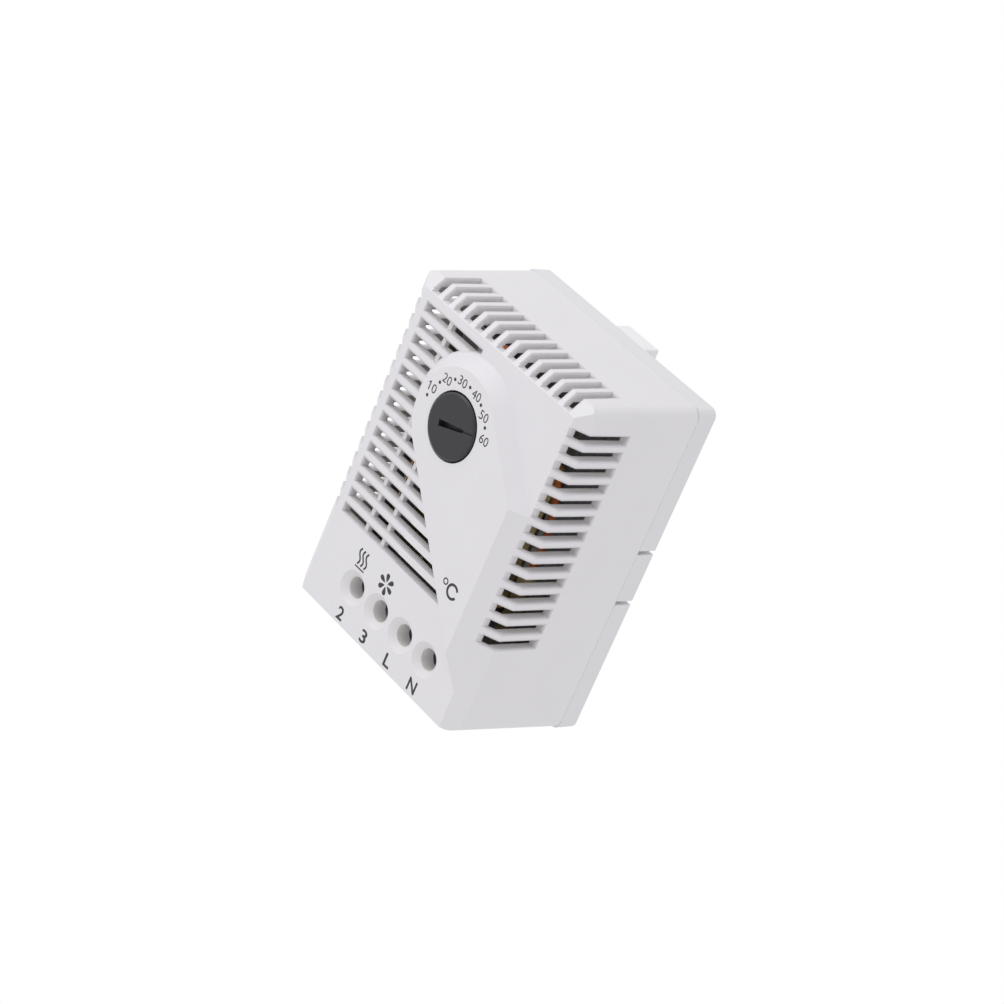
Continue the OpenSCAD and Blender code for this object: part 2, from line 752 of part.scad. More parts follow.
// The four screws that hold the frame on the base's posts
module frame_screws() {
    color([0.62, 0.63, 0.65])
        for (sx = [-1, 1], z = [frame_screw_up, -frame_screw_down]) difference() {
            union() {
                y_bar(sx * frame_screw_x, z, frame_y - frame_head_t, frame_y, frame_head_r);
                y_bar(sx * frame_screw_x, z, frame_y, frame_y + frame_screw_l, frame_screw_r - press);
            }
            box(sx * frame_screw_x - frame_head_r, sx * frame_screw_x + frame_head_r,
                frame_y - frame_head_t - over, frame_y - frame_head_t + frame_slot_d,
                z - frame_slot_w / 2, z + frame_slot_w / 2);
        }
}

// Set lever: turns on the pin, carries the bimetal strip and the calibration screw
module set_lever() {
    back_y = lever_y + lever_w;
    mid_y = lever_y + lever_w / 2;
    boss_x = cam_x - cal_boss_x;
    color([0.35, 0.36, 0.38]) difference() {
        union() {
            y_bar(pivot_x, pivot_z, lever_y, back_y, lever_hub_r);
            box(pivot_x - pad_t, pivot_x, lever_y, back_y, bimetal_top_z - pad_h, pivot_z);
            box(boss_x - cal_boss_w, boss_x, mid_y - cal_boss_d / 2, mid_y + cal_boss_d / 2,
                dial_z - cal_boss_h / 2, dial_z + cal_boss_h / 2);
            y_prism(mid_y - cal_boss_d / 2, mid_y + cal_boss_d / 2) polygon([
                [pivot_x, pivot_z], [pivot_x + lever_hub_r, pivot_z],
                [boss_x, dial_z + cal_boss_h / 2], [boss_x - cal_boss_w, dial_z + cal_boss_h / 2]]);
            box(pivot_x - tail_l, pivot_x, mid_y - cal_boss_d / 2, mid_y + cal_boss_d / 2,
                pivot_z - tail_t / 2, tail_z);
        }
        y_bar(pivot_x, pivot_z, lever_y - over, back_y + over, pivot_r + run_gap);
        x_bar(mid_y, dial_z, boss_x - cal_boss_w - over, boss_x + over, cal_screw_r + press);
        for (s = rivet_reach_shares)
            x_bar(mid_y, bimetal_top_z - s * pad_h, pivot_x - pad_t - over, pivot_x + over, rivet_r + run_gap);
    }
}

// Pin that the set lever turns on
module lever_pin() {
    color([0.66, 0.67, 0.7]) {
        y_bar(pivot_x, pivot_z, lever_y - lever_play, frame_back_y, pivot_r);
        y_bar(pivot_x, pivot_z, lever_y - lever_play - pivot_head_t, lever_y - lever_play, pivot_head_r);
    }
}

// Calibration screw: its rounded end follows the cam
module calibration_screw() {
    mid_y = lever_y + lever_w / 2;
    end_x = cam_x - cal_screw_r;
    color([0.78, 0.66, 0.38]) {
        x_bar(mid_y, dial_z, end_x - cal_screw_l, end_x, cal_screw_r);
        translate([end_x, mid_y, dial_z]) sphere(r = cal_screw_r);
    }
}

// Lever spring: holds the calibration screw on the cam
module lever_spring() {
    color([0.7, 0.71, 0.73])
        translate([lever_spring_x, lever_y + lever_w / 2, tail_z + spring_play])
            coil(lever_spring_r, lever_wire_r, lever_spring_l, lever_spring_turns);
}

// Bimetal strip: hangs from the lever and bends towards the switch as it warms
module bimetal_strip() {
    mid_y = lever_y + lever_w / 2;
    color([0.62, 0.5, 0.4]) difference() {
        box(bimetal_x, bimetal_x + bimetal_t, mid_y - bimetal_w / 2, mid_y + bimetal_w / 2,
            pin_z - bimetal_tip, bimetal_top_z);
        for (s = rivet_reach_shares)
            x_bar(mid_y, bimetal_top_z - s * pad_h, bimetal_x - over, bimetal_x + bimetal_t + over, rivet_r + press);
    }
}

// The two rivets that hold the strip on the lever's pad
module bimetal_rivets() {
    mid_y = lever_y + lever_w / 2;
    color([0.76, 0.72, 0.66]) for (s = rivet_reach_shares) {
        z = bimetal_top_z - s * pad_h;
        x_bar(mid_y, z, bimetal_x - rivet_head_t, bimetal_x, min(rivet_head_r, pad_h / 4));
        x_bar(mid_y, z, bimetal_x, pivot_x, rivet_r);
    }
}

// Push pin: passes the strip's movement on to the switch blade
module push_pin() {
    color([0.93, 0.92, 0.88]) x_bar(blade_mid_y, pin_z, pin_left_x, pin_right_x, pin_r);
}

// Snap blade: sprung leaf with a window, fixed at its upper end
module snap_blade() {
    low_z = contact_z - blade_tail;
    color([0.82, 0.6, 0.36]) difference() {
        box(blade_x - blade_t / 2, blade_x + blade_t / 2, blade_y, blade_y + blade_w,
            low_z, blade_anchor_z + blade_top);
        box(blade_x - over, blade_x + over, blade_mid_y - blade_window_w / 2, blade_mid_y + blade_window_w / 2,
            pin_z - pin_r - lever_play - blade_window_l, pin_z - pin_r - lever_play);
        x_bar(blade_mid_y, blade_anchor_z, blade_x - over, blade_x + over, rivet_r + press);
        x_bar(blade_mid_y, contact_z, blade_x - over, blade_x + over, rivet_r + press);
    }
}

// Moving contact: a rivet with a silver face on each side of the blade
module moving_contact() {
    color([0.86, 0.87, 0.88]) {
        x_bar(blade_mid_y, contact_z, blade_x + blade_t / 2, blade_x + blade_t / 2 + contact_t, contact_r);
        x_bar(blade_mid_y, contact_z, blade_x - blade_t / 2 - contact_t, blade_x - blade_t / 2, contact_r);
        x_bar(blade_mid_y, contact_z, blade_x - blade_t / 2, blade_x + blade_t / 2, rivet_r);
    }
}

// Fixed contact that is closed while the air is colder than the dial's setting
module heating_contact() {
    color([0.86, 0.87, 0.88]) x_bar(blade_mid_y, contact_z, heat_face_x, heat_face_x + contact_t, contact_r);
}

// Fixed contact that closes when the air is warmer
module cooling_contact() {
    color([0.86, 0.87, 0.88]) x_bar(blade_mid_y, contact_z, cool_face_x - contact_t, cool_face_x, contact_r);
}

// Rivet that holds the blade on the live rail
module blade_rivet() {
    color([0.76, 0.72, 0.66]) {
        x_bar(blade_mid_y, blade_anchor_z, blade_x - blade_t / 2 - rivet_head_t, blade_x - blade_t / 2, rivet_head_r);
        x_bar(blade_mid_y, blade_anchor_z, blade_x - blade_t / 2, blade_x + blade_t / 2 + rail_bar_t, rivet_r);
    }
}

// The part of a rail that stands in the clamp of terminal i, up to a height
module rail_tab(i, top_z) {
    x = term_place(i);
    box(x - tab_w / 2, x + tab_w / 2, tab_y, tab_y + rail_bar_t, tab_z, top_z);
}

// Contact rail of terminal 2, up to the heating contact, with a foot for the resistor's lower lead
module heating_rail() {
    run_z = term_z + block_top + tab_play * 2;
    stand_x = heat_face_x + contact_t;
    foot_z = run_z + tab_w / 2 - rail_bar_t;
    color([0.8, 0.7, 0.45]) {
        box(term_place(0) - tab_w / 4, term_place(0) + tab_w / 4, resistor_y - lead_r * 2, tab_y + rail_bar_t,
            foot_z, foot_z + rail_bar_t);
        rail_tab(0, run_z + tab_w / 2);
        box(stand_x, term_place(0) + tab_w / 2, tab_y, tab_y + rail_bar_t, run_z, run_z + tab_w / 2);
        box(stand_x, stand_x + rail_bar_t, blade_y, tab_y + rail_bar_t, run_z, contact_z + contact_r + stand_reach);
    }
}

// Contact rail of terminal 3, which passes behind the first to the cooling contact
module cooling_rail() {
    run_z = term_z + block_top + tab_play * 2;
    top_z = run_z + tab_w / 2;
    stand_x = cool_face_x - contact_t;
    color([0.8, 0.7, 0.45]) {
        rail_tab(1, top_z);
        box(term_place(1) - tab_w / 2, term_place(1) + tab_w / 2, tab_y, cross_y + rail_bar_t, run_z, top_z);
        box(stand_x - rail_bar_t, term_place(1) + tab_w / 2, cross_y, cross_y + rail_bar_t, run_z, top_z);
        box(stand_x - rail_bar_t, stand_x, blade_y, cross_y + rail_bar_t, run_z, contact_z + contact_r + stand_reach);
    }
}

// Contact rail of terminal L, up the frame and across to the blade's upper end
module live_rail() {
    run_z = term_z + block_top + tab_play * 2;
    low_z = blade_anchor_z - blade_top;
    top_z = blade_anchor_z + blade_top;
    x = term_place(2);
    stand_x = blade_x + blade_t / 2;
    color([0.8, 0.7, 0.45]) {
        rail_tab(2, run_z + tab_w / 2);
        box(x - tab_w / 2, x + tab_w / 2, tab_y, cross_y + rail_bar_t, run_z, run_z + tab_w / 2);
        box(x - tab_w / 2, x + tab_w / 2, cross_y, cross_y + rail_bar_t, run_z, top_z);
        box(stand_x, x, cross_y, cross_y + rail_bar_t, low_z, top_z);
        difference() {
            box(stand_x, stand_x + rail_bar_t, blade_y, cross_y + rail_bar_t, low_z, top_z);
            x_bar(blade_mid_y, blade_anchor_z, stand_x - over, stand_x + rail_bar_t + over, rivet_r + run_gap);
        }
    }
}

// Contact rail of terminal N, on which the jumper lead ends
module neutral_rail() {
    color([0.8, 0.7, 0.45]) rail_tab(3, neutral_top_z);
}

// Feedback resistor: warms the strip a little while the heater runs
module feedback_resistor() {
    color([0.45, 0.62, 0.6]) translate([term_place(0), resistor_y, resistor_z - resistor_l / 2]) {
        cylinder(h = resistor_l, r = resistor_r);
        cylinder(h = resistor_cap_l, r = resistor_cap_r);
        translate([0, 0, resistor_l - resistor_cap_l]) cylinder(h = resistor_cap_l, r = resistor_cap_r);
    }
}

// The resistor's two wire ends, the lower one down to its rail
module resistor_leads() {
    foot_z = term_z + block_top + tab_play * 2 + tab_w / 2;
    color([0.75, 0.75, 0.74]) {
        translate([term_place(0), resistor_y, resistor_z + resistor_l / 2]) cylinder(h = lead_l, r = lead_r);
        translate([term_place(0), resistor_y, foot_z])
            cylinder(h = resistor_z - resistor_l / 2 - foot_z, r = lead_r);
    }
}

// Points that the jumper lead passes, from the resistor over the cam to the neutral rail
jumper_stops = [
    [term_place(0), resistor_y, resistor_z + resistor_l / 2 + lead_l + lead_r],
    [term_place(0), resistor_y - 2 * cam_t, dial_z - cam_t],
    [pivot_x + cam_t, cam_y - 2 * cam_t, dial_z + cam_r],
    [cam_x, cam_y - cam_r + jumper_r, pivot_z + cam_t + lead_r],
    [cam_x / 2, cam_y - cam_r, pivot_z - pivot_r],
    [term_place(3) / 3, cam_y - cam_t, dial_z + cam_r],
    [term_place(3), cam_y, dial_z],
    [term_place(3), tab_y + rail_bar_t / 2, neutral_top_z + 3 * cam_t],
    [term_place(3), tab_y + rail_bar_t / 2, neutral_top_z + press]
];

// A place on the smooth curve through the stops
function curve_point(p, i, t) =
    let (n = len(p) - 1, a = p[max(i - 1, 0)], b = p[i], c = p[min(i + 1, n)], d = p[min(i + 2, n)])
    ((2 * b) + (c - a) * t + (2 * a - 5 * b + 4 * c - d) * t * t + (3 * b - a - 3 * c + d) * t * t * t) / 2;

function unit(v) = v / norm(v);

// Jumper lead: insulated wire in a loose loop under the top louvres
module jumper_lead() {
    n = len(jumper_stops) - 1;
    path = [for (i = [0 : n - 1], k = [0 : jumper_steps - 1]) curve_point(jumper_stops, i, k / jumper_steps),
            jumper_stops[n]];
    m = len(path) - 1;
    points = [for (i = [0 : m])
        let (t = unit(path[min(i + 1, m)] - path[max(i - 1, 0)]),
             side = unit(cross(t, [1, 1 / 2, 1 / 5])), up = cross(side, t))
        for (j = [0 : jumper_sides - 1])
            path[i] + jumper_r * (cos(360 * j / jumper_sides) * side + sin(360 * j / jumper_sides) * up)];
    skin = [for (i = [0 : m - 1], j = [0 : jumper_sides - 1]) let (k = (j + 1) % jumper_sides)
        each [[i * jumper_sides + j, i * jumper_sides + k, (i + 1) * jumper_sides + k],
              [i * jumper_sides + j, (i + 1) * jumper_sides + k, (i + 1) * jumper_sides + j]]];
    start = [for (j = [1 : jumper_sides - 2]) [0, j + 1, j]];
    last = m * jumper_sides;
    end = [for (j = [1 : jumper_sides - 2]) [last, last + j, last + j + 1]];
    color([0.85, 0.42, 0.16]) polyhedron(points, concat(skin, start, end));
}

// Terminal block: four chambers side by side, open to the frame plate behind
module terminal_block() {
    low_z = term_z - chamber_h / 2 + tab_play - block_low;
    top_z = term_z + block_top;
    chamber_z = term_z - chamber_h / 2 + tab_play;
    color([0.86, 0.86, 0.84]) difference() {
        box(term_place(0) - chamber_w / 2 - block_end, term_place(3) + chamber_w / 2 + block_end,
            block_front_y, frame_y, low_z, top_z);
        for (i = [0 : 3]) {
            x = term_place(i);
            box(x - chamber_w / 2, x + chamber_w / 2, chamber_front_y, frame_y + over,
                chamber_z, chamber_z + chamber_h);
            y_bar(x, term_z, block_front_y - over, block_front_y + head_t + head_room, screw_head_r + head_play);
            y_bar(x, term_z, block_front_y, chamber_front_y + over, screw_r + run_gap);
            box(x - funnel_w / 2, x + funnel_w / 2, funnel_y, funnel_y + funnel_d, low_z - over, chamber_z + over);
            box(x - tab_w / 2 - tab_play, x + tab_w / 2 + tab_play, tab_y - tab_play,
                tab_y + rail_bar_t + tab_play, term_z, top_z + over);
        }
    }
}

// Terminal screw i: slotted head in the block's front, thread through the clamp
module terminal_screw(i) {
    x = term_place(i);
    head_y = block_front_y + head_room / 2;
    color([0.72, 0.72, 0.7]) difference() {
        union() {
            y_bar(x, term_z, head_y, head_y + head_t, screw_head_r);
            y_bar(x, term_z, head_y + head_t, tab_y - tip_gap, screw_r);
        }
        box(x - screw_head_r, x + screw_head_r, head_y - over, head_y + head_slot_d,
            term_z - head_slot_w / 2, term_z + head_slot_w / 2);
    }
}

// Clamp cage i: square ring that the screw draws forwards against the rail's tab
module clamp_cage(i) {
    x = term_place(i);
    color([0.78, 0.75, 0.62]) difference() {
        box(x - cage_w / 2, x + cage_w / 2, cage_front_y, cage_back_y, term_z - cage_h / 2, term_z + cage_h / 2);
        box(x - cage_w / 2 + cage_side, x + cage_w / 2 - cage_side, cage_front_y + cage_web,
            cage_back_y - cage_web, term_z - cage_h, term_z + cage_h);
        y_bar(x, term_z, cage_front_y - over, cage_front_y + cage_web + over, screw_r + run_gap);
    }
}

module terminal_screw_2() { terminal_screw(0); }
module terminal_screw_3() { terminal_screw(1); }
module terminal_screw_l() { terminal_screw(2); }
module terminal_screw_n() { terminal_screw(3); }
module clamp_cage_2() { clamp_cage(0); }
module clamp_cage_3() { clamp_cage(1); }
module clamp_cage_l() { clamp_cage(2); }
module clamp_cage_n() { clamp_cage(3); }

front_hood();
rear_base();
rail_latch();
latch_spring();
adjusting_knob();
cam_spindle();
spindle_bush();
spindle_circlip();
knob_washer();
mechanism_frame();
frame_screws();
set_lever();
lever_pin();
calibration_screw();
lever_spring();
bimetal_strip();
bimetal_rivets();
push_pin();
snap_blade();
moving_contact();
heating_contact();
cooling_contact();
blade_rivet();
heating_rail();
cooling_rail();
live_rail();
neutral_rail();
feedback_resistor();
resistor_leads();
jumper_lead();
terminal_block();
terminal_screw_2();
terminal_screw_3();
terminal_screw_l();
terminal_screw_n();
clamp_cage_2();
clamp_cage_3();
clamp_cage_l();
clamp_cage_n();
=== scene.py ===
import math

import bmesh
import bpy
from mathutils import Matrix, Vector


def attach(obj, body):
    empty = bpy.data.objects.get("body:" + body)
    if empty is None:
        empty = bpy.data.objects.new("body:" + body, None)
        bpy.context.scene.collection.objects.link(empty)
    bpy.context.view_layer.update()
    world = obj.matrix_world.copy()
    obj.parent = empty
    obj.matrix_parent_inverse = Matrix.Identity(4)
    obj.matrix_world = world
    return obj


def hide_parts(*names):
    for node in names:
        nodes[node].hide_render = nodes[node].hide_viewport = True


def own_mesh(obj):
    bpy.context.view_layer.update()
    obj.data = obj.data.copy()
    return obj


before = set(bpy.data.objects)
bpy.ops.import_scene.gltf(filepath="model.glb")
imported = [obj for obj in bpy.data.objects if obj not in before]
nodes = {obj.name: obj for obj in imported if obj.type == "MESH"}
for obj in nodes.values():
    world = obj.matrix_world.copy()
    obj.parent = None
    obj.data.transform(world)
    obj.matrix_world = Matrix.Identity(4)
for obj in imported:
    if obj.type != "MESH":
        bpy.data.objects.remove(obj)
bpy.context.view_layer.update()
scene = bpy.context.scene
MM = 0.001


# Camera
# It stands in front of the right upper corner, some 0.6 m away, and is rolled to the left.
# Its place, turn and lens were solved from the case's corners in the photograph.
def own(thing):
    """Puts an object into the scene and hands it back."""
    scene.collection.objects.link(thing)
    return thing


camera = own(bpy.data.objects.new("camera", bpy.data.cameras.new("camera")))
scene.camera = camera
camera.data.sensor_width = 36.0
camera.data.lens = 116.535
camera.data.clip_start = 0.01
camera.data.clip_end = 10.0
camera_place = (0.347787, -0.410033, 0.231909)
camera_right = Vector((0.58333, 0.72641, 0.36340)).normalized()
nearly_up = Vector((-0.54311, 0.01616, 0.83950))
camera_back = camera_right.cross(nearly_up).normalized()
camera_up = camera_back.cross(camera_right)
camera_turn = Matrix((camera_right, camera_up, camera_back)).transposed().to_4x4()
camera.matrix_world = Matrix.Translation(camera_place) @ camera_turn


# Light
# An even white room, seen as plain white by the camera, as in a cut-out product picture.
# One soft lamp stands above and in front, to the left, and makes the top and the front
# a little lighter than the right side.
class Wire:
    """A value in a node tree. Python's signs on it add the Math nodes that work them out."""

    def __init__(self, graph, socket):
        self.graph = graph
        self.socket = socket

    def apply(self, operation, *others):
        return self.graph.maths(operation, self, *others)

    def __add__(self, other):
        return self.apply("ADD", other)

    def __radd__(self, other):
        return self.apply("ADD", other)

    def __sub__(self, other):
        return self.apply("SUBTRACT", other)

    def __rsub__(self, other):
        return self.graph.maths("SUBTRACT", other, self)

    def __mul__(self, other):
        return self.apply("MULTIPLY", other)

    def __rmul__(self, other):
        return self.apply("MULTIPLY", other)

    def __truediv__(self, other):
        return self.apply("DIVIDE", other)

    def __rtruediv__(self, other):
        return self.graph.maths("DIVIDE", other, self)

    def __abs__(self):
        return self.apply("ABSOLUTE")

    def at_least(self, low):
        return self.apply("MAXIMUM", low)

    def at_most(self, high):
        return self.apply("MINIMUM", high)

    def between(self, low, high):
        """0 below low, 1 above high, and smooth from one to the other."""
        settings = {"interpolation_type": "SMOOTHSTEP"}
        values = {"Value": self, "From Min": low, "From Max": high}
        return self.graph.add("ShaderNodeMapRange", settings, values)


class Graph:
    """A node tree to which one method adds any node: its settings, then its inputs."""

    def __init__(self, tree):
        self.tree = tree
        tree.nodes.clear()

    def find(self, sockets, key):
        """The socket with this number or identifier, or else with this name."""
        if isinstance(key, int):
            return sockets[key]
        exact = [s for s in sockets if s.identifier == key]
        return exact[0] if exact else sockets[key]

    def add(self, kind, settings=None, inputs=None, out=0):
        node = self.tree.nodes.new(kind)
        for name, value in (settings or {}).items():
            setattr(node, name, value)
        for key, value in (inputs or {}).items():
            socket = self.find(node.inputs, key)
            if isinstance(value, Wire):
                self.tree.links.new(value.socket, socket)
            else:
                socket.default_value = value
        return Wire(self, self.find(node.outputs, out)) if node.outputs else node

    def maths(self, operation, *values):
        return self.add("ShaderNodeMath", {"operation": operation}, dict(enumerate(values)))


world = bpy.data.worlds.new("white room")
scene.world = world
world.use_nodes = True
room = Graph(world.node_tree)
seen = room.add("ShaderNodeLightPath", out="Is Camera Ray")
room_level = 0.80
white = room.add("ShaderNodeBackground", None, {"Color": (1, 1, 1, 1), "Strength": 1.0})
dim = room.add("ShaderNodeBackground", None, {"Color": (1, 1, 1, 1), "Strength": room_level})
shown = room.add("ShaderNodeMixShader", None, {0: seen, 1: dim, 2: white})
room.add("ShaderNodeOutputWorld", None, {"Surface": shown})

softbox = own(bpy.data.objects.new("softbox", bpy.data.lights.new("softbox", "AREA")))
softbox.data.shape = "SQUARE"
softbox.data.size = 0.45
softbox.data.energy = 1.10
softbox.location = (-0.34, -0.36, 0.46)
softbox_aim = Vector((0, 0, 0)) - softbox.location
softbox.rotation_mode = "QUATERNION"
softbox.rotation_quaternion = softbox_aim.to_track_quat("-Z", "Y")

scene.view_settings.view_transform = "Standard"


# Front hood
# Off-white moulded shell with a fine-eroded grain, snapped onto the base from the front.
# It is a copy of the CAD shell with its flat faces whole again and a small round on its
# edges; the finish widens that round along the louvre bars.
def paint(red, green, blue):
    """The linear colour of an sRGB colour given from 0 to 255."""
    shares = [c / 255 for c in (red, green, blue)]
    linear = [c / 12.92 if c <= 0.04045 else ((c + 0.055) / 1.055) ** 2.4 for c in shares]
    return (*linear, 1.0)


def shaded(colour, share):
    """A colour made lighter or darker."""
    return (*(min(c * share, 1.0) for c in colour[:3]), 1.0)


class Finish:
    """A material with one glossy surface shader, whose inputs a caller fills in."""

    def __init__(self, name):
        self.material = bpy.data.materials.new(name)
        self.material.use_nodes = True
        self.graph = Graph(self.material.node_tree)
        self.place = self.graph.add("ShaderNodeTexCoord", out="Object")
        axes = {"Vector": self.place}
        self.x, self.y, self.z = (
            self.graph.add("ShaderNodeSeparateXYZ", None, axes, out=a) for a in "XYZ"
        )

    def noise(self, size, detail=2.0, stretch=(1, 1, 1), offset=0.0):
        """Random values from 0 to 1 with features of about this size."""
        settings = {"vector_type": "POINT"}
        values = {"Vector": self.place, "Scale": stretch, "Location": (offset,) * 3}
        place = self.graph.add("ShaderNodeMapping", settings, values)
        values = {"Vector": place, "Scale": 1 / size, "Detail": detail, "Roughness": 0.55}
        return self.graph.add("ShaderNodeTexNoise", {"noise_dimensions": "3D"}, values)

    def mix(self, factor, one, other):
        """A colour that goes from one to the other as the factor goes from 0 to 1."""
        settings = {"data_type": "RGBA", "clamp_factor": True}
        values = {"Factor_Float": factor, "A_Color": one, "B_Color": other}
        return self.graph.add("ShaderNodeMix", settings, values, out="Result_Color")

    def done(self, colour, roughness, height, depth, metallic=0.0, coat=0.0):
        """Joins the inputs to the shader; height is from 0 to 1 and depth is its size."""
        bump = {"Strength": 1.0, "Distance": depth, "Height": height}
        values = {
            "Base Color": colour, "Roughness": roughness, "Metallic": metallic,
            "Coat Weight": coat, "Normal": self.graph.add("ShaderNodeBump", None, bump),
        }
        surface = self.graph.add("ShaderNodeBsdfPrincipled", None, values)
        self.graph.add("ShaderNodeOutputMaterial", None, {"Surface": surface})
        return self.material


def eroded(finish):
    """The textures of a moulded skin: fine grain, slow drift of the tone, and specks."""
    grain = finish.noise(0.22 * MM, detail=1.0)
    drift = finish.noise(9 * MM, offset=3.0)
    specks = finish.noise(0.5 * MM, offset=7.0)
    return grain, drift, specks


front_y = -30.8 * MM
dial_x, dial_z = -0.55 * MM, 14.65 * MM


def skin_depth(finish):
    """How far a place is inside the hood's leaning outer faces and its bevels."""
    half_w, half_h, seam_y = 25 * MM, 33.5 * MM, -4.5 * MM
    bevel_w, bevel_d, draft = 2.75 * MM, 2.3 * MM, math.radians(1.3)
    fall = bevel_w / bevel_d
    square = 1 / math.hypot(1, fall)
    lean = (finish.y - seam_y) * math.tan(draft)
    side = half_w + lean - abs(finish.x)
    end = half_h + lean - abs(finish.z)
    face = finish.y - front_y
    bevel = (face - bevel_d) * fall
    edge = (side + bevel) * square
    brow = (half_h + lean - finish.z + bevel) * square
    return side.at_most(end).at_most(face).at_most(edge).at_most(brow)


def past_slots(along, first, pitch, count):
    """Distance along an axis to the nearest slot of an even row."""
    half_slot = 0.9 * MM
    place = (along - first) / pitch
    nearest = place.apply("ROUND").at_least(0).at_most(count - 1)
    return (abs(place - nearest) * pitch - half_slot).at_least(0)


def distance(*parts):
    """How far off a place is, from how far off it is in each direction."""
    squares = [part * part for part in parts]
    return sum(squares[1:], squares[0]).apply("SQRT")


def slot_distance(finish):
    """Distance over the hood's skin to its nearest slot, on the top, a side or the front.

    A front slot counts as far as window_right, the right end of the slots above the dial.
    """
    x, y, z = finish.x, finish.y, finish.z
    lowest_row, row_pitch, row_count = -14.05 * MM, 3.19 * MM, 14
    first_column, column_pitch, column_count = -19.08 * MM, 3.18 * MM, 13
    rows = past_slots(z, lowest_row, row_pitch, row_count)
    columns = past_slots(x, first_column, column_pitch, column_count)
    side_rear, top_rear = -19.2 * MM, -20.2 * MM
    window_left, window_right = -19.7 * MM, -3.3 * MM
    dial_foot, diagonal = 13.1 * MM, math.sqrt(0.5)
    front_end = (x - window_right).at_least(window_left - x).at_least(0)
    across, up = x - dial_x, z - dial_z
    along = ((across - up) * diagonal).at_most(0)
    beside = (across + up) * diagonal
    dial_end = (dial_foot - distance(along, beside)).at_least(0)
    side_from, top_from, field_from = 22.1 * MM, 30.85 * MM, -30.82 * MM
    on_side = abs(x).apply("GREATER_THAN", side_from)
    on_top = z.apply("GREATER_THAN", top_from)
    on_front = y.apply("GREATER_THAN", field_from) * (1 - on_side) * (1 - on_top)
    side = distance(rows, (y - side_rear).at_least(0)) + (1 - on_side)
    top = distance(columns, (y - top_rear).at_least(0)) + (1 - on_top)
    front = distance(rows, front_end, dial_end) + (1 - on_front)
    return side.at_most(top).at_most(front)


def housing_finish():
    """The hood's plastic, with painted shade on its slot walls and in its hollow, and the edges
    of its bars rounded.
    """
    finish = Finish("housing plastic")
    grain, drift, specks = eroded(finish)
    outer, wall_shade, hollow_shade = paint(232, 230, 234), paint(230, 228, 228), paint(88, 84, 82)
    depth = skin_depth(finish)
    # Painted shade: from a quarter of a millimetre in, the slot walls turn warmer and darker,
    # and deeper in, above the terminal area, the hollow is painted dark grey.
    inside = depth.between(0.25 * MM, 1.2 * MM)
    louvres = finish.z.between(-20.5 * MM, -19.5 * MM)
    hollow = depth.between(1.75 * MM, 2.2 * MM) * louvres
    tone = drift * 0.55 + specks * 0.45
    skin = finish.mix(tone, shaded(outer, 0.97), shaded(outer, 1.03))
    skin = finish.mix(inside, skin, wall_shade)
    skin = finish.mix(hollow, skin, hollow_shade)
    gloss = grain * 0.14 + drift * 0.06 + 0.40
    bar_round, grain_depth = 0.42 * MM, 0.005 * MM
    off_edge = slot_distance(finish) + depth.at_least(0)
    left = (bar_round - off_edge).at_least(0)
    dip = left * left / (2 * bar_round)
    return finish.done(skin, gloss, grain - dip / grain_depth, grain_depth)


def rounded_copy(node, name, radius, finish):
    """A copy of a CAD node with its flat faces whole and its edges rounded."""
    mesh = nodes[node].data.copy()
    mesh.name = name
    form = bmesh.new()
    form.from_mesh(mesh)
    bmesh.ops.remove_doubles(form, verts=form.verts, dist=0.001 * MM)
    flat = math.radians(0.5)
    bmesh.ops.dissolve_limit(form, angle_limit=flat, verts=form.verts, edges=form.edges)
    for face in form.faces:
        face.smooth = True
    form.to_mesh(mesh)
    form.free()
    for attribute in [a for a in mesh.attributes if a.name == "custom_normal"]:
        mesh.attributes.remove(attribute)
    mesh.materials.clear()
    mesh.materials.append(finish)
    piece = own(bpy.data.objects.new(name, mesh))
    edges = piece.modifiers.new("rounded edges", "BEVEL")
    edges.width = radius
    edges.segments = 3
    edges.limit_method = "ANGLE"
    edges.angle_limit = math.radians(32)
    edges.use_clamp_overlap = True
    edges.harden_normals = True
    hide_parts(node)
    return piece


hood = rounded_copy("front_hood", "hood_shell", 0.36 * MM, housing_finish())
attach(hood, "case")


# Rear base
# The same off-white plastic in a slightly cooler batch, moulded as a shallow tray.
# Its rim shows behind the hood as a band four millimetres deep.
def moulded(name, colour, roughness):
    """Moulded plastic: eroded grain, and a tone that wanders by a few percent."""
    finish = Finish(name)
    grain, drift, specks = eroded(finish)
    tone = drift * 0.6 + specks * 0.4
    skin = finish.mix(tone, shaded(colour, 0.965), shaded(colour, 1.03))
    gloss = grain * 0.12 + drift * 0.06 + (roughness - 0.09)
    return finish.done(skin, gloss, grain, 0.006 * MM)


base_finish = moulded("base plastic", paint(229, 228, 232), 0.47)
base = rounded_copy("rear_base", "base_tray", 0.2 * MM, base_finish)
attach(base, "case")


# Rail latch
# Block of off-white plastic in guides on the back of the base, its colour painted lighter than
# the base's as painted light.
# It slides up against its spring to let go of the rail.
# Painted light: the base's plastic colour made lighter to stand in for the light falling on the
# latch.
latch_painted_light = moulded("latch plastic painted lighter", paint(243, 242, 245), 0.45)
latch = rounded_copy("rail_latch", "latch_block", 0.3 * MM, latch_painted_light)
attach(latch, "latch")


# Latch spring
# Bright drawn wire, eight turns, pressed between the latch's pocket and the base's post.
# It is drawn fuller than in the CAD model, with flat end turns.
def drawn_wire(name, colour, roughness=0.28):
    """Bright metal wire with fine lines and a few darker spots."""
    finish = Finish(name)
    lines = finish.noise(0.05 * MM, detail=3.0)
    spots = finish.noise(0.8 * MM, offset=5.0)
    skin = finish.mix(spots, shaded(colour, 0.86), shaded(colour, 1.08))
    gloss = lines * 0.16 + (roughness - 0.06)
    return finish.done(skin, gloss, lines, 0.002 * MM, metallic=1.0)


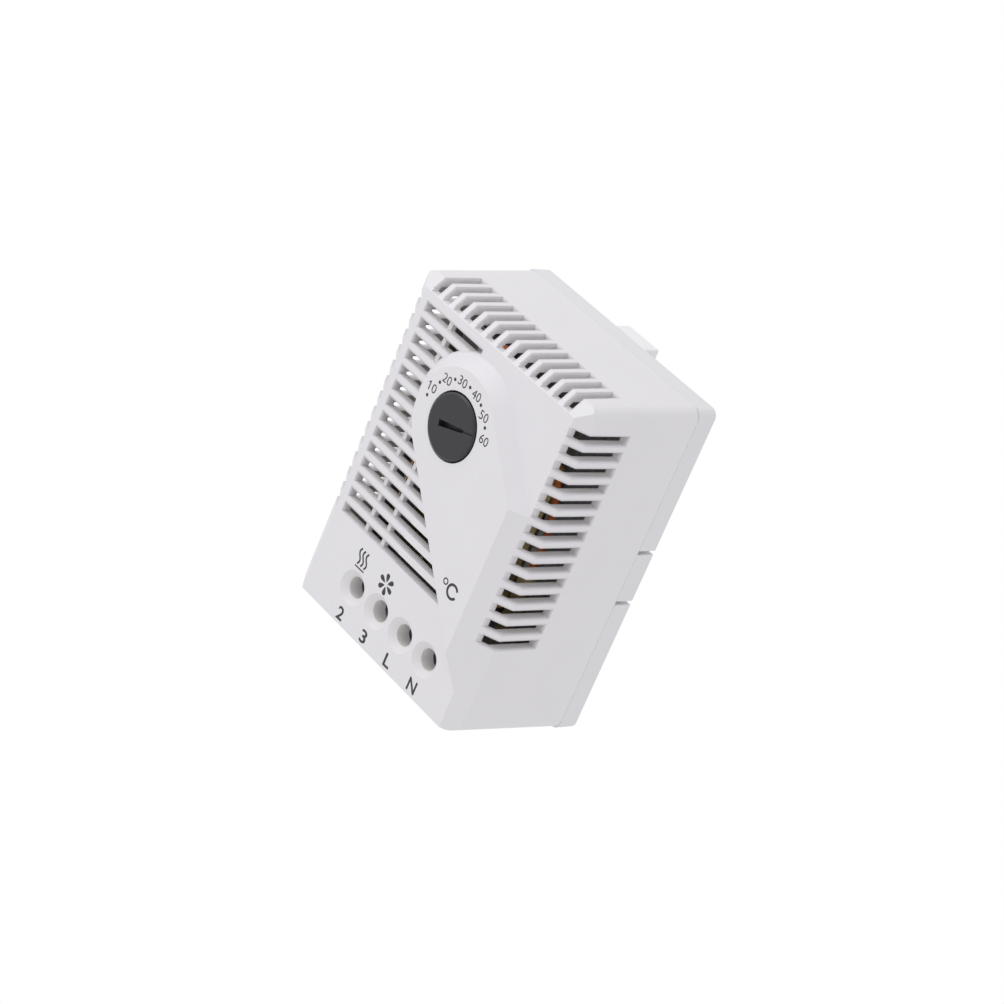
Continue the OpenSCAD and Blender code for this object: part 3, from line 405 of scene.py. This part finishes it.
def geometry_tree(name, result, **inputs):
    """The graph of a new geometry tree, and a wire from each of its inputs."""
    tree = bpy.data.node_groups.new(name, "GeometryNodeTree")
    for label, kind in inputs.items():
        tree.interface.new_socket(label, in_out="INPUT", socket_type=f"NodeSocket{kind}")
    tree.interface.new_socket(result, in_out="OUTPUT", socket_type="NodeSocketGeometry")
    graph = Graph(tree)
    entry = tree.nodes.new("NodeGroupInput")
    return graph, [Wire(graph, entry.outputs[i]) for i in range(len(inputs))]


def end_tree(graph, form, finish):
    """Ends a geometry tree with the form as plain mesh in this finish."""
    form = graph.add("GeometryNodeRealizeInstances", None, {"Geometry": form})
    form = graph.add("GeometryNodeSetMaterial", None, {"Geometry": form, "Material": finish})
    graph.add("NodeGroupOutput", None, {0: form})
    return graph.tree


def bar_along_path():
    """A tree that draws a round bar along a path of edges."""
    graph, (path, radius, sides, finish) = geometry_tree(
        "bar along a path", "Bar", Path="Geometry", Radius="Float", Sides="Int",
        Finish="Material",
    )
    line = graph.add("GeometryNodeMeshToCurve", None, {"Mesh": path})
    ring = {"Resolution": sides, "Radius": radius}
    ring = graph.add("GeometryNodeCurvePrimitiveCircle", {"mode": "RADIUS"}, ring)
    bar = {"Curve": line, "Profile Curve": ring, "Fill Caps": True}
    bar = graph.add("GeometryNodeCurveToMesh", None, bar)
    return end_tree(graph, bar, finish)


def grown(name, start, tree, smooth=True, **values):
    """A piece made by a geometry tree from a starting mesh, then kept as plain mesh."""
    piece = own(bpy.data.objects.new(name, start))
    grower = piece.modifiers.new("grower", "NODES")
    grower.node_group = tree
    for item in tree.interface.items_tree:
        if item.in_out == "INPUT" and item.name in values:
            grower[item.identifier] = values[item.name]
    depsgraph = bpy.context.evaluated_depsgraph_get()
    grown_form = piece.evaluated_get(depsgraph)
    mesh = bpy.data.meshes.new_from_object(grown_form, depsgraph=depsgraph)
    piece.modifiers.remove(grower)
    piece.data = mesh
    mesh.name = name
    for face in mesh.polygons:
        face.use_smooth = smooth
    return piece


def path_mesh(name, points):
    """A mesh of edges that joins the points in a row."""
    mesh = bpy.data.meshes.new(name)
    mesh.from_pydata(points, [(i, i + 1) for i in range(len(points) - 1)], [])
    return mesh


bar_tree = bar_along_path()
spring_wire = 0.2 * MM
spring_finish = drawn_wire("spring wire", (0.50, 0.51, 0.53, 1.0))


def coil_spring(name, low_end, radius, length, turns):
    """A coil along Z from its low end, whose end turns lie nearly flat."""
    per_turn, flat_turns = 32, 0.9
    flat_rise = 0.9 * spring_wire
    run = length - 2 * spring_wire - 2 * flat_turns * flat_rise
    points = []
    for i in range(round(turns * per_turn) + 1):
        turn = i / per_turn
        share = min(max((turn - flat_turns) / (turns - 2 * flat_turns), 0), 1)
        low = min(turn, flat_turns) * flat_rise
        high = max(turn - (turns - flat_turns), 0) * flat_rise
        rise = spring_wire + low + share * run + high
        angle = turn * math.tau
        place = (radius * math.cos(angle), radius * math.sin(angle), rise)
        points.append(Vector(low_end) + Vector(place))
    path = path_mesh(name, points)
    return grown(name, path, bar_tree, Radius=spring_wire, Sides=10, Finish=spring_finish)


latch_spring_low = (0, 1.0 * MM, 19.8 * MM)
latch_spring = coil_spring("latch_coil", latch_spring_low, 0.9 * MM, 7.2 * MM, 8)
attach(latch_spring, "case")
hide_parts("latch_spring")
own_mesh(latch_spring)


# Adjusting knob
# Satin anthracite moulding with a driver slot that narrows towards the pointer.
# Fine turning lines of the mould's insert run round its face.
def knob_finish():
    finish = Finish("knob plastic")
    line_pitch = 0.18 * MM
    reach = distance(finish.x - dial_x, finish.z - dial_z)
    lines = (reach * (math.tau / line_pitch)).apply("SINE") * 0.5 + 0.5
    fine = finish.noise(0.12 * MM)
    broad = finish.noise(3 * MM, offset=2.0)
    anthracite = paint(47, 45, 50)
    skin = finish.mix(broad, shaded(anthracite, 0.85), shaded(anthracite, 1.15))
    gloss = fine * 0.12 + broad * 0.08 + 0.30
    height = lines * 0.35 + fine * 0.65
    return finish.done(skin, gloss, height, 0.003 * MM)


knob = rounded_copy("adjusting_knob", "dial_knob", 0.1 * MM, knob_finish())
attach(knob, "dial")


# Printed scale and labels
# Pad-printed dark ink that stands a hundredth of a millimetre proud: the dial's numerals
# and dots, the degree sign, the terminals' labels, and the symbols for heating and cooling.
def ink_finish():
    finish = Finish("marking ink")
    broken = finish.noise(0.12 * MM, detail=3.0)
    cloud = finish.noise(1.5 * MM, detail=1.0, offset=4.0)
    skin = finish.mix(broken * 0.5 + cloud * 0.5, paint(36, 34, 43), paint(70, 68, 77))
    gloss = broken * 0.2 + 0.42
    return finish.done(skin, gloss, broken, 0.002 * MM)


ink = ink_finish()
ink_depth = 0.02 * MM
field_y = -33.4 * MM


def to_front(face_y):
    """Turns a drawing in X and Y to stand on a front face at face_y."""
    return Matrix.Translation((0, face_y, 0)) @ Matrix.Rotation(math.pi / 2, 4, "X")


def print_piece(name, mesh, face_y):
    """Stands a flat drawing on the front and makes it a piece of the case."""
    mesh.transform(to_front(face_y))
    mesh.name = name
    mesh.materials.clear()
    mesh.materials.append(ink)
    piece = own(bpy.data.objects.new(name, mesh))
    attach(piece, "case")


def join(meshes):
    """One mesh that holds all of these."""
    form = bmesh.new()
    for mesh in meshes:
        form.from_mesh(mesh)
    joined = bpy.data.meshes.new("joined")
    form.to_mesh(joined)
    form.free()
    return joined


def letters(text, centre, height, width, weight=0.0):
    """A word as mesh in X and Y, scaled to this height and width about its centre."""
    curve = bpy.data.curves.new(text, "FONT")
    curve.body = text
    curve.extrude = 1.0
    curve.offset = weight
    curve.resolution_u = 6
    word = own(bpy.data.objects.new(text, curve))
    depsgraph = bpy.context.evaluated_depsgraph_get()
    mesh = bpy.data.meshes.new_from_object(word.evaluated_get(depsgraph), depsgraph=depsgraph)
    bpy.data.objects.remove(word)
    places = [v.co.copy() for v in mesh.vertices]
    low = Vector(min(p[i] for p in places) for i in range(3))
    high = Vector(max(p[i] for p in places) for i in range(3))
    size = high - low
    fit = Matrix.Diagonal((width / size.x, height / size.y, ink_depth / size.z, 1))
    middle = Matrix.Translation(-(low + high) / 2)
    mesh.transform(Matrix.Translation((*centre, 0)) @ fit @ middle)
    return mesh


def plate(outline):
    """A thin flat plate with this outline in X and Y, anticlockwise."""
    count = len(outline)
    low, high = -ink_depth / 2, ink_depth / 2
    points = [(x, y, low) for x, y in outline] + [(x, y, high) for x, y in outline]
    faces = [list(range(count))[::-1], list(range(count, 2 * count))]
    faces += [(i, (i + 1) % count, count + (i + 1) % count, count + i) for i in range(count)]
    mesh = bpy.data.meshes.new("plate")
    mesh.from_pydata(points, [], faces)
    return mesh


def stroke(points, width):
    """A line of this width through the points, with square ends."""
    left, right = [], []
    for i, point in enumerate(points):
        before, after = points[max(i - 1, 0)], points[min(i + 1, len(points) - 1)]
        along = (Vector(after) - Vector(before)).normalized()
        across = Vector((-along.y, along.x)) * width / 2
        left.append(tuple(Vector(point) + across))
        right.append(tuple(Vector(point) - across))
    return plate(right + left[::-1])


def at_angle(centre, radius, degrees):
    """The point on a circle at an angle from +X."""
    angle = math.radians(degrees)
    return (centre[0] + radius * math.cos(angle), centre[1] + radius * math.sin(angle))


def arc(centre, radius, start, end, steps):
    """Points on an arc, with angles in degrees from +X."""
    turns = [start + (end - start) * i / steps for i in range(steps + 1)]
    return [at_angle(centre, radius, turn) for turn in turns]


# The typeface's 1 has no flag, so the first numeral gets one as a short stroke.
scale_centre = (-0.6 * MM, 14.3 * MM)
scale_reach = 8.45 * MM
numeral_high, numeral_wide, ten_wide = 1.7 * MM, 2.25 * MM, 1.95 * MM
flag_from, flag_to = (-1.3 * MM, 0.42 * MM), (-0.9 * MM, 0.78 * MM)
numeral_angles = {"10": 155.6, "20": 128.4, "30": 101.3, "40": 72.9, "50": 45.6, "60": 18.0}
numeral_meshes = []
for word, angle in numeral_angles.items():
    middle = at_angle(scale_centre, scale_reach, angle)
    width = ten_wide if word == "10" else numeral_wide
    numeral_meshes.append(letters(word, middle, numeral_high, width))
ten = at_angle(scale_centre, scale_reach, numeral_angles["10"])
flag = [(ten[0] + x, ten[1] + z) for x, z in (flag_from, flag_to)]
numeral_meshes.append(stroke(flag, 0.2 * MM))
print_piece("scale_numerals", join(numeral_meshes), field_y)


def dot_on_points():
    """A tree that sets a thin round dot on every point."""
    graph, (points, radius, thickness, finish) = geometry_tree(
        "dots on points", "Dots", Points="Geometry", Radius="Float", Thickness="Float",
        Finish="Material",
    )
    disc = {"Vertices": 20, "Radius": radius, "Depth": thickness}
    disc = graph.add("GeometryNodeMeshCylinder", None, disc, out="Mesh")
    dots = {"Points": points, "Instance": disc}
    dots = graph.add("GeometryNodeInstanceOnPoints", None, dots)
    return end_tree(graph, dots, finish)


dot_angles = [168.4, 141.7, 114.8, 87.3, 59.7, 32.4]
dot_places = [at_angle(scale_centre, scale_reach, angle) for angle in dot_angles]
dot_start = bpy.data.meshes.new("scale_dots")
dot_start.from_pydata([(x, y, 0) for x, y in dot_places], [], [])
dots = grown(
    "scale_dots", dot_start, dot_on_points(), smooth=False,
    Radius=0.32 * MM, Thickness=ink_depth, Finish=ink,
)
dots.data.transform(to_front(field_y))
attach(dots, "case")

degree_centre, capital_centre = (12.12 * MM, -8.7 * MM), (14.44 * MM, -9.4 * MM)
ring_out = arc(degree_centre, 0.66 * MM, 0, 360, 28)
ring_in = arc(degree_centre, 0.40 * MM, 360, 0, 28)
capital_c = stroke(arc(capital_centre, 1.27 * MM, 28, 332, 30), 0.5 * MM)
print_piece("degree_sign", join([plate(ring_out + ring_in), capital_c]), field_y)

label_z, label_high, label_weight = -30.92 * MM, 2.6 * MM, 0.02
label_sizes = {"2": (-10.44, 1.75), "3": (-3.05, 1.7), "L": (4.52, 1.75), "N": (12.15, 2.3)}
label_meshes = []
for word, (x, width) in label_sizes.items():
    centre = (x * MM, label_z)
    label_meshes.append(letters(word, centre, label_high, width * MM, label_weight))
print_piece("terminal_labels", join(label_meshes), front_y)

heat_x, heat_z = -10.38 * MM, -19.2 * MM
wave_high, wave_swing, wave_pitch, wave_steps = 3.1 * MM, 0.38 * MM, 1.0 * MM, 16
underline_half, underline_gap = 1.35 * MM, 0.5 * MM
heat_meshes = []
for i in (-1, 0, 1):
    wave = []
    for k in range(wave_steps + 1):
        share = k / wave_steps
        bend = wave_swing * math.sin(math.tau * share)
        wave.append((heat_x + i * wave_pitch + bend, heat_z + wave_high * (share - 0.5)))
    heat_meshes.append(stroke(wave, 0.38 * MM))
underline_z = heat_z - wave_high / 2 - underline_gap
underline = [(heat_x - underline_half, underline_z), (heat_x + underline_half, underline_z)]
heat_meshes.append(stroke(underline, 0.28 * MM))
print_piece("heating_symbol", join(heat_meshes), front_y)

fan_centre = Vector((-2.89 * MM, -19.62 * MM))
petals, petal_points, first_petal = 6, 20, 38
petal_start, petal_length, petal_half = 0.42 * MM, 1.66 * MM, 0.66 * MM
petal_root = 0.22
petal_meshes = []
for k in range(petals):
    along = Vector(at_angle((0, 0), 1, first_petal + 360 / petals * k))
    across = Vector((-along.y, along.x))
    outline = []
    for i in range(petal_points):
        angle = math.tau * i / petal_points
        share = (1 + math.cos(angle)) / 2
        reach = petal_start + petal_length * share
        half = petal_half * math.sin(angle) * (petal_root + (1 - petal_root) * share)
        outline.append(tuple(fan_centre + along * reach + across * half))
    petal_meshes.append(plate(outline))
print_piece("fan_symbol", join(petal_meshes), front_y)


# Cam spindle, bush and ring
# Turned brass spindle with its spiral cam, running in a turned brass bush.
# A ring of spring steel keeps it in its place.
def dress(node, finish):
    """Gives a CAD node its material."""
    part = nodes[node]
    part.data.materials.clear()
    part.data.materials.append(finish)


def turned(name, colour, roughness, centre, along="y"):
    """Turned metal, with fine lines round an axis and a little tarnish."""
    finish = Finish(name)
    line_pitch = 0.12 * MM
    run, across = (finish.y, finish.x) if along == "y" else (finish.x, finish.y)
    reach = distance(across - centre[0], finish.z - centre[1])
    lines = ((run + reach) * (math.tau / line_pitch)).apply("SINE") * 0.5 + 0.5
    cloud = finish.noise(1.6 * MM, detail=3.0)
    fine = finish.noise(0.06 * MM, offset=9.0)
    skin = finish.mix(cloud, shaded(colour, 0.80), shaded(colour, 1.10))
    gloss = fine * 0.12 + cloud * 0.14 + (roughness - 0.13)
    return finish.done(skin, gloss, lines * 0.6 + fine * 0.4, 0.003 * MM, metallic=1.0)


dial_axis = (dial_x, dial_z)
brass = (0.75, 0.60, 0.32, 1.0)
bush_brass = turned("bush brass", shaded(brass, 0.9), 0.36, dial_axis)
ring_steel = drawn_wire("ring steel", (0.42, 0.42, 0.44, 1.0), 0.36)
dress("cam_spindle", turned("turned brass", brass, 0.30, dial_axis))
dress("spindle_bush", bush_brass)
dress("spindle_circlip", ring_steel)


# Drag washer
# Stamped ring of zinc-plated steel between the knob's flange and the dial field.
# It gives the knob its drag, and turns with it.
def plated(name, colour, roughness):
    """Zinc-plated steel: small crystals and a faint yellow and blue cast."""
    finish = Finish(name)
    cells = {"Vector": finish.place, "Scale": 1 / (0.35 * MM), "Randomness": 1.0}
    crystal = finish.graph.add("ShaderNodeTexVoronoi", {"feature": "F1"}, cells, out="Distance")
    cast = finish.noise(1.8 * MM, offset=6.0)
    warm = (colour[0] * 1.04, colour[1], colour[2] * 0.90, 1.0)
    cool = (colour[0] * 0.93, colour[1] * 0.98, colour[2] * 1.05, 1.0)
    skin = finish.mix(cast, warm, cool)
    gloss = crystal * 0.12 + cast * 0.08 + (roughness - 0.10)
    return finish.done(skin, gloss, crystal, 0.003 * MM, metallic=1.0)


zinc = plated("zinc plate", (0.62, 0.63, 0.65, 1.0), 0.36)
dress("knob_washer", zinc)


# Mechanism frame
# Dark grey glass-filled moulding that carries the whole mechanism.
# Short fibres show in its skin, and it stands on the base's posts.
def filled_plastic(name, colour, roughness=0.52):
    """Glass-filled moulding: streaks of fibre on a dull skin."""
    finish = Finish(name)
    fibre = finish.noise(0.35 * MM, detail=3.0, stretch=(1, 1, 0.18))
    fine = finish.noise(0.15 * MM, detail=1.0, offset=2.0)
    streak = fibre.between(0.50, 0.72)
    skin = finish.mix(streak, colour, shaded(colour, 1.7))
    gloss = fine * 0.14 + streak * 0.08 + (roughness - 0.09)
    return finish.done(skin, gloss, fibre * 0.5 + fine * 0.5, 0.006 * MM)


frame_grey = filled_plastic("frame plastic", (0.20, 0.20, 0.21, 1))
dress("mechanism_frame", frame_grey)


# Frame screws
# Four slotted screws of zinc-plated steel.
# They hold the frame on the base's posts.
dress("frame_screws", zinc)


# Set lever and its pin
# Black moulded lever that the cam tilts, which sets the temperature.
# It swings on a turned steel pin along Y.
lever_black = filled_plastic("lever plastic", (0.10, 0.10, 0.11, 1), 0.46)
pin_axis = (-11 * MM, 24 * MM)
dress("set_lever", lever_black)
dress("lever_pin", turned("pin steel", (0.60, 0.61, 0.63, 1), 0.26, pin_axis))


# Calibration screw
# Turned brass screw that lies along X in the lever.
# Its round end rides on the cam.
screw_axis = (-17.5 * MM, dial_z)
screw_brass = turned("screw brass", brass, 0.30, screw_axis, along="x")
dress("calibration_screw", screw_brass)


# Lever spring
# Five turns of drawn wire between the lever's tail and the frame's bracket.
# It holds the calibration screw on the cam, and shortens as the lever tilts.
lever_spring_low = (-16 * MM, -17.5 * MM, 24.9 * MM)
lever_spring = coil_spring("lever_coil", lever_spring_low, 1.1 * MM, 3.8 * MM, 5)
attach(lever_spring, "case")
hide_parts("lever_spring")
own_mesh(lever_spring)


# Bimetal strip and rivets
# Two rolled metals bonded face to face, with the copper-coloured one on the right.
# Two plated rivets hold the strip on the lever.
def bimetal_finish():
    finish = Finish("bimetal")
    middle_x, bond_half = -12.8 * MM, 0.01 * MM
    right_face = (finish.x - middle_x).between(-bond_half, bond_half)
    rolled = finish.noise(0.06 * MM, detail=3.0, stretch=(1, 1, 0.03))
    bloom = finish.noise(2.4 * MM, detail=3.0, offset=8.0)
    steel = finish.mix(bloom, (0.44, 0.43, 0.42, 1), (0.56, 0.55, 0.53, 1))
    copper = finish.mix(bloom, (0.58, 0.38, 0.26, 1), (0.70, 0.50, 0.36, 1))
    skin = finish.mix(right_face, steel, copper)
    gloss = rolled * 0.2 + bloom * 0.1 + 0.22
    return finish.done(skin, gloss, rolled, 0.003 * MM, metallic=1.0)


rivet_plate = (0.66, 0.64, 0.60, 1)
dress("bimetal_strip", bimetal_finish())
dress("bimetal_rivets", plated("rivet plate", rivet_plate, 0.30))


# Push pin
# Glazed ivory ceramic rod between the strip and the blade.
# It passes the strip's bending on to the switch.
def glazed(name, colour):
    """Glazed ceramic: a clear coat over a faintly speckled body."""
    finish = Finish(name)
    speck = finish.noise(0.18 * MM, detail=3.0)
    cloud = finish.noise(2.0 * MM, offset=5.0)
    skin = finish.mix(speck * 0.6 + cloud * 0.4, shaded(colour, 0.90), shaded(colour, 1.06))
    gloss = cloud * 0.08 + speck * 0.06 + 0.16
    return finish.done(skin, gloss, cloud, 0.004 * MM, coat=0.6)


dress("push_pin", glazed("pin ceramic", (0.85, 0.83, 0.77, 1)))


# Snap blade and its contacts
# Rolled spring bronze with a plated rivet, between two fixed contacts.
# The silver contact faces have darkened a little from use.
def rolled_sheet(name, colour, roughness=0.30, stretch=(1, 1, 0.04)):
    """Rolled and stamped sheet metal: lines along the grain and handling marks."""
    finish = Finish(name)
    grain = finish.noise(0.07 * MM, detail=3.0, stretch=stretch)
    marks = finish.noise(1.3 * MM, detail=3.0, offset=4.0)
    skin = finish.mix(marks, shaded(colour, 0.78), shaded(colour, 1.10))
    gloss = grain * 0.18 + marks * 0.12 + (roughness - 0.13)
    return finish.done(skin, gloss, grain, 0.003 * MM, metallic=1.0)


dress("snap_blade", rolled_sheet("spring bronze", (0.72, 0.47, 0.28, 1)))
dress("blade_rivet", plated("blade rivet plate", rivet_plate, 0.30))
contact_silver = rolled_sheet("silver", (0.85, 0.85, 0.84, 1), 0.24, (1, 1, 1))
for contact in ("moving_contact", "heating_contact", "cooling_contact"):
    dress(contact, contact_silver)


# Contact rails
# Stamped brass strips from the four clamps to the switch and the resistor.
# The rolling lines of the cooling rail run across the case, those of the others upwards.
rail_brass = rolled_sheet("rail brass", brass, 0.34)
cross_brass = rolled_sheet("crossing rail brass", brass, 0.34, (0.04, 1, 1))
dress("heating_rail", rail_brass)
dress("cooling_rail", cross_brass)
dress("live_rail", rail_brass)
dress("neutral_rail", rail_brass)


# Feedback resistor and leads
# Cement-coated body with pressed end caps and two dark bands, on tinned wire ends.
# It warms the strip a little while the heater runs.
def resistor_finish():
    finish = Finish("resistor body")
    middle_z, band_at = -3.0 * MM, 2.0 * MM
    crumb = finish.noise(0.14 * MM, detail=4.0)
    cloud = finish.noise(1.2 * MM, offset=3.0)
    skin = finish.mix(crumb * 0.5 + cloud * 0.5, (0.24, 0.35, 0.31, 1), (0.37, 0.50, 0.45, 1))
    from_middle = abs(finish.z - middle_z)
    off_band = abs(from_middle - band_at).between(0.42 * MM, 0.48 * MM)
    skin = finish.mix(off_band, (0.05, 0.05, 0.05, 1), skin)
    cap = from_middle.between(3.38 * MM, 3.42 * MM)
    skin = finish.mix(cap, skin, (0.62, 0.61, 0.58, 1))
    gloss = crumb * 0.2 + 0.34
    return finish.done(skin, gloss, crumb, 0.012 * MM, metallic=cap)


dress("feedback_resistor", resistor_finish())
dress("resistor_leads", drawn_wire("tinned wire", (0.68, 0.68, 0.67, 1), 0.34))


# Jumper lead
# Orange insulated wire in a loose loop from the resistor over the cam to terminal N.
# It runs through the CAD model's own stops, and is drawn with more sides and rings.
def sleeve_finish():
    finish = Finish("lead sleeve")
    fine = finish.noise(0.2 * MM)
    broad = finish.noise(3.5 * MM, offset=2.0)
    skin = finish.mix(broad, (0.66, 0.16, 0.035, 1), (0.86, 0.26, 0.07, 1))
    gloss = fine * 0.14 + 0.38
    return finish.done(skin, gloss, fine, 0.004 * MM)


jumper_stops = [
    (-10.1, -17, 6.35), (-10.1, -23, 11.65), (-8, -25, 19.65), (-5.65, -23.3, 27.35),
    (-2.825, -24, 23), (4.133, -22, 19.65), (12.4, -19, 14.65), (12.4, -14.2, 1.4),
    (12.4, -14.2, -7.58),
]


def smooth_path(stops, steps):
    """Points of a smooth curve through the stops."""
    stops = [Vector(s) for s in stops]
    last = len(stops) - 1
    points = []
    for i in range(last):
        a, b, c, d = (stops[min(max(i + k, 0), last)] for k in (-1, 0, 1, 2))
        for k in range(steps):
            t = k / steps
            first = 2 * b + (c - a) * t
            second = (2 * a - 5 * b + 4 * c - d) * t * t
            third = (3 * b - a - 3 * c + d) * t * t * t
            points.append((first + second + third) / 2)
    return [*points, stops[last]]


jumper_path = [p * MM for p in smooth_path(jumper_stops, 14)]
jumper = grown(
    "jumper_wire", path_mesh("jumper_wire", jumper_path), bar_tree,
    Radius=0.7 * MM, Sides=20, Finish=sleeve_finish(),
)
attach(jumper, "case")
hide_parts("jumper_lead")


# Terminal block
# Dark grey glass-filled moulding with four chambers, one for each clamp.
# It stands behind the four screwdriver holes of the hood.
block_grey = filled_plastic("block plastic", (0.16, 0.16, 0.17, 1))
dress("terminal_block", block_grey)


# Terminal screws
# Slotted screws of plated steel, one in each clamp.
# A half-millimetre thread runs round each shank.
def threaded(name, x, z, head_end):
    """Plated steel with a screw thread along Y behind the head, with painted shade in the
    thread's grooves.
    """
    finish = Finish(name)
    pitch, thread_depth = 0.5 * MM, 0.06 * MM
    across, up = finish.x - x, finish.z - z
    turn = up.apply("ARCTAN2", across) / math.tau
    ridge = ((finish.y / pitch + turn) * math.tau).apply("SINE") * 0.5 + 0.5
    shank = finish.y.between(head_end, head_end + 0.02 * MM)
    cast = finish.noise(1.4 * MM, offset=6.0)
    fine = finish.noise(0.08 * MM)
    skin = finish.mix(cast, (0.60, 0.58, 0.52, 1), (0.60, 0.62, 0.66, 1))
    # Painted shade: the grooves of the thread on the shank are painted darker.
    skin = finish.mix(shank * (1 - ridge) * 0.5, skin, (0.24, 0.24, 0.25, 1))
    gloss = fine * 0.14 + cast * 0.08 + 0.24
    height = ridge * shank * 0.9 + fine * 0.1
    return finish.done(skin, gloss, height, thread_depth, metallic=1.0)


screw_z, head_end_y = -25.2 * MM, -24.3 * MM
terminals = {"2": -10.1, "3": -2.6, "l": 4.9, "n": 12.4}
for word, x in terminals.items():
    screw_finish = threaded(f"screw {word}", x * MM, screw_z, head_end_y)
    dress(f"terminal_screw_{word}", screw_finish)


# Clamp cages
# Rings folded from plated steel sheet.
# The screws draw them forwards to grip the wires against the rails.
cage_plate = plated("cage plate", (0.64, 0.62, 0.56, 1), 0.40)
for word in terminals:
    dress(f"clamp_cage_{word}", cage_plate)
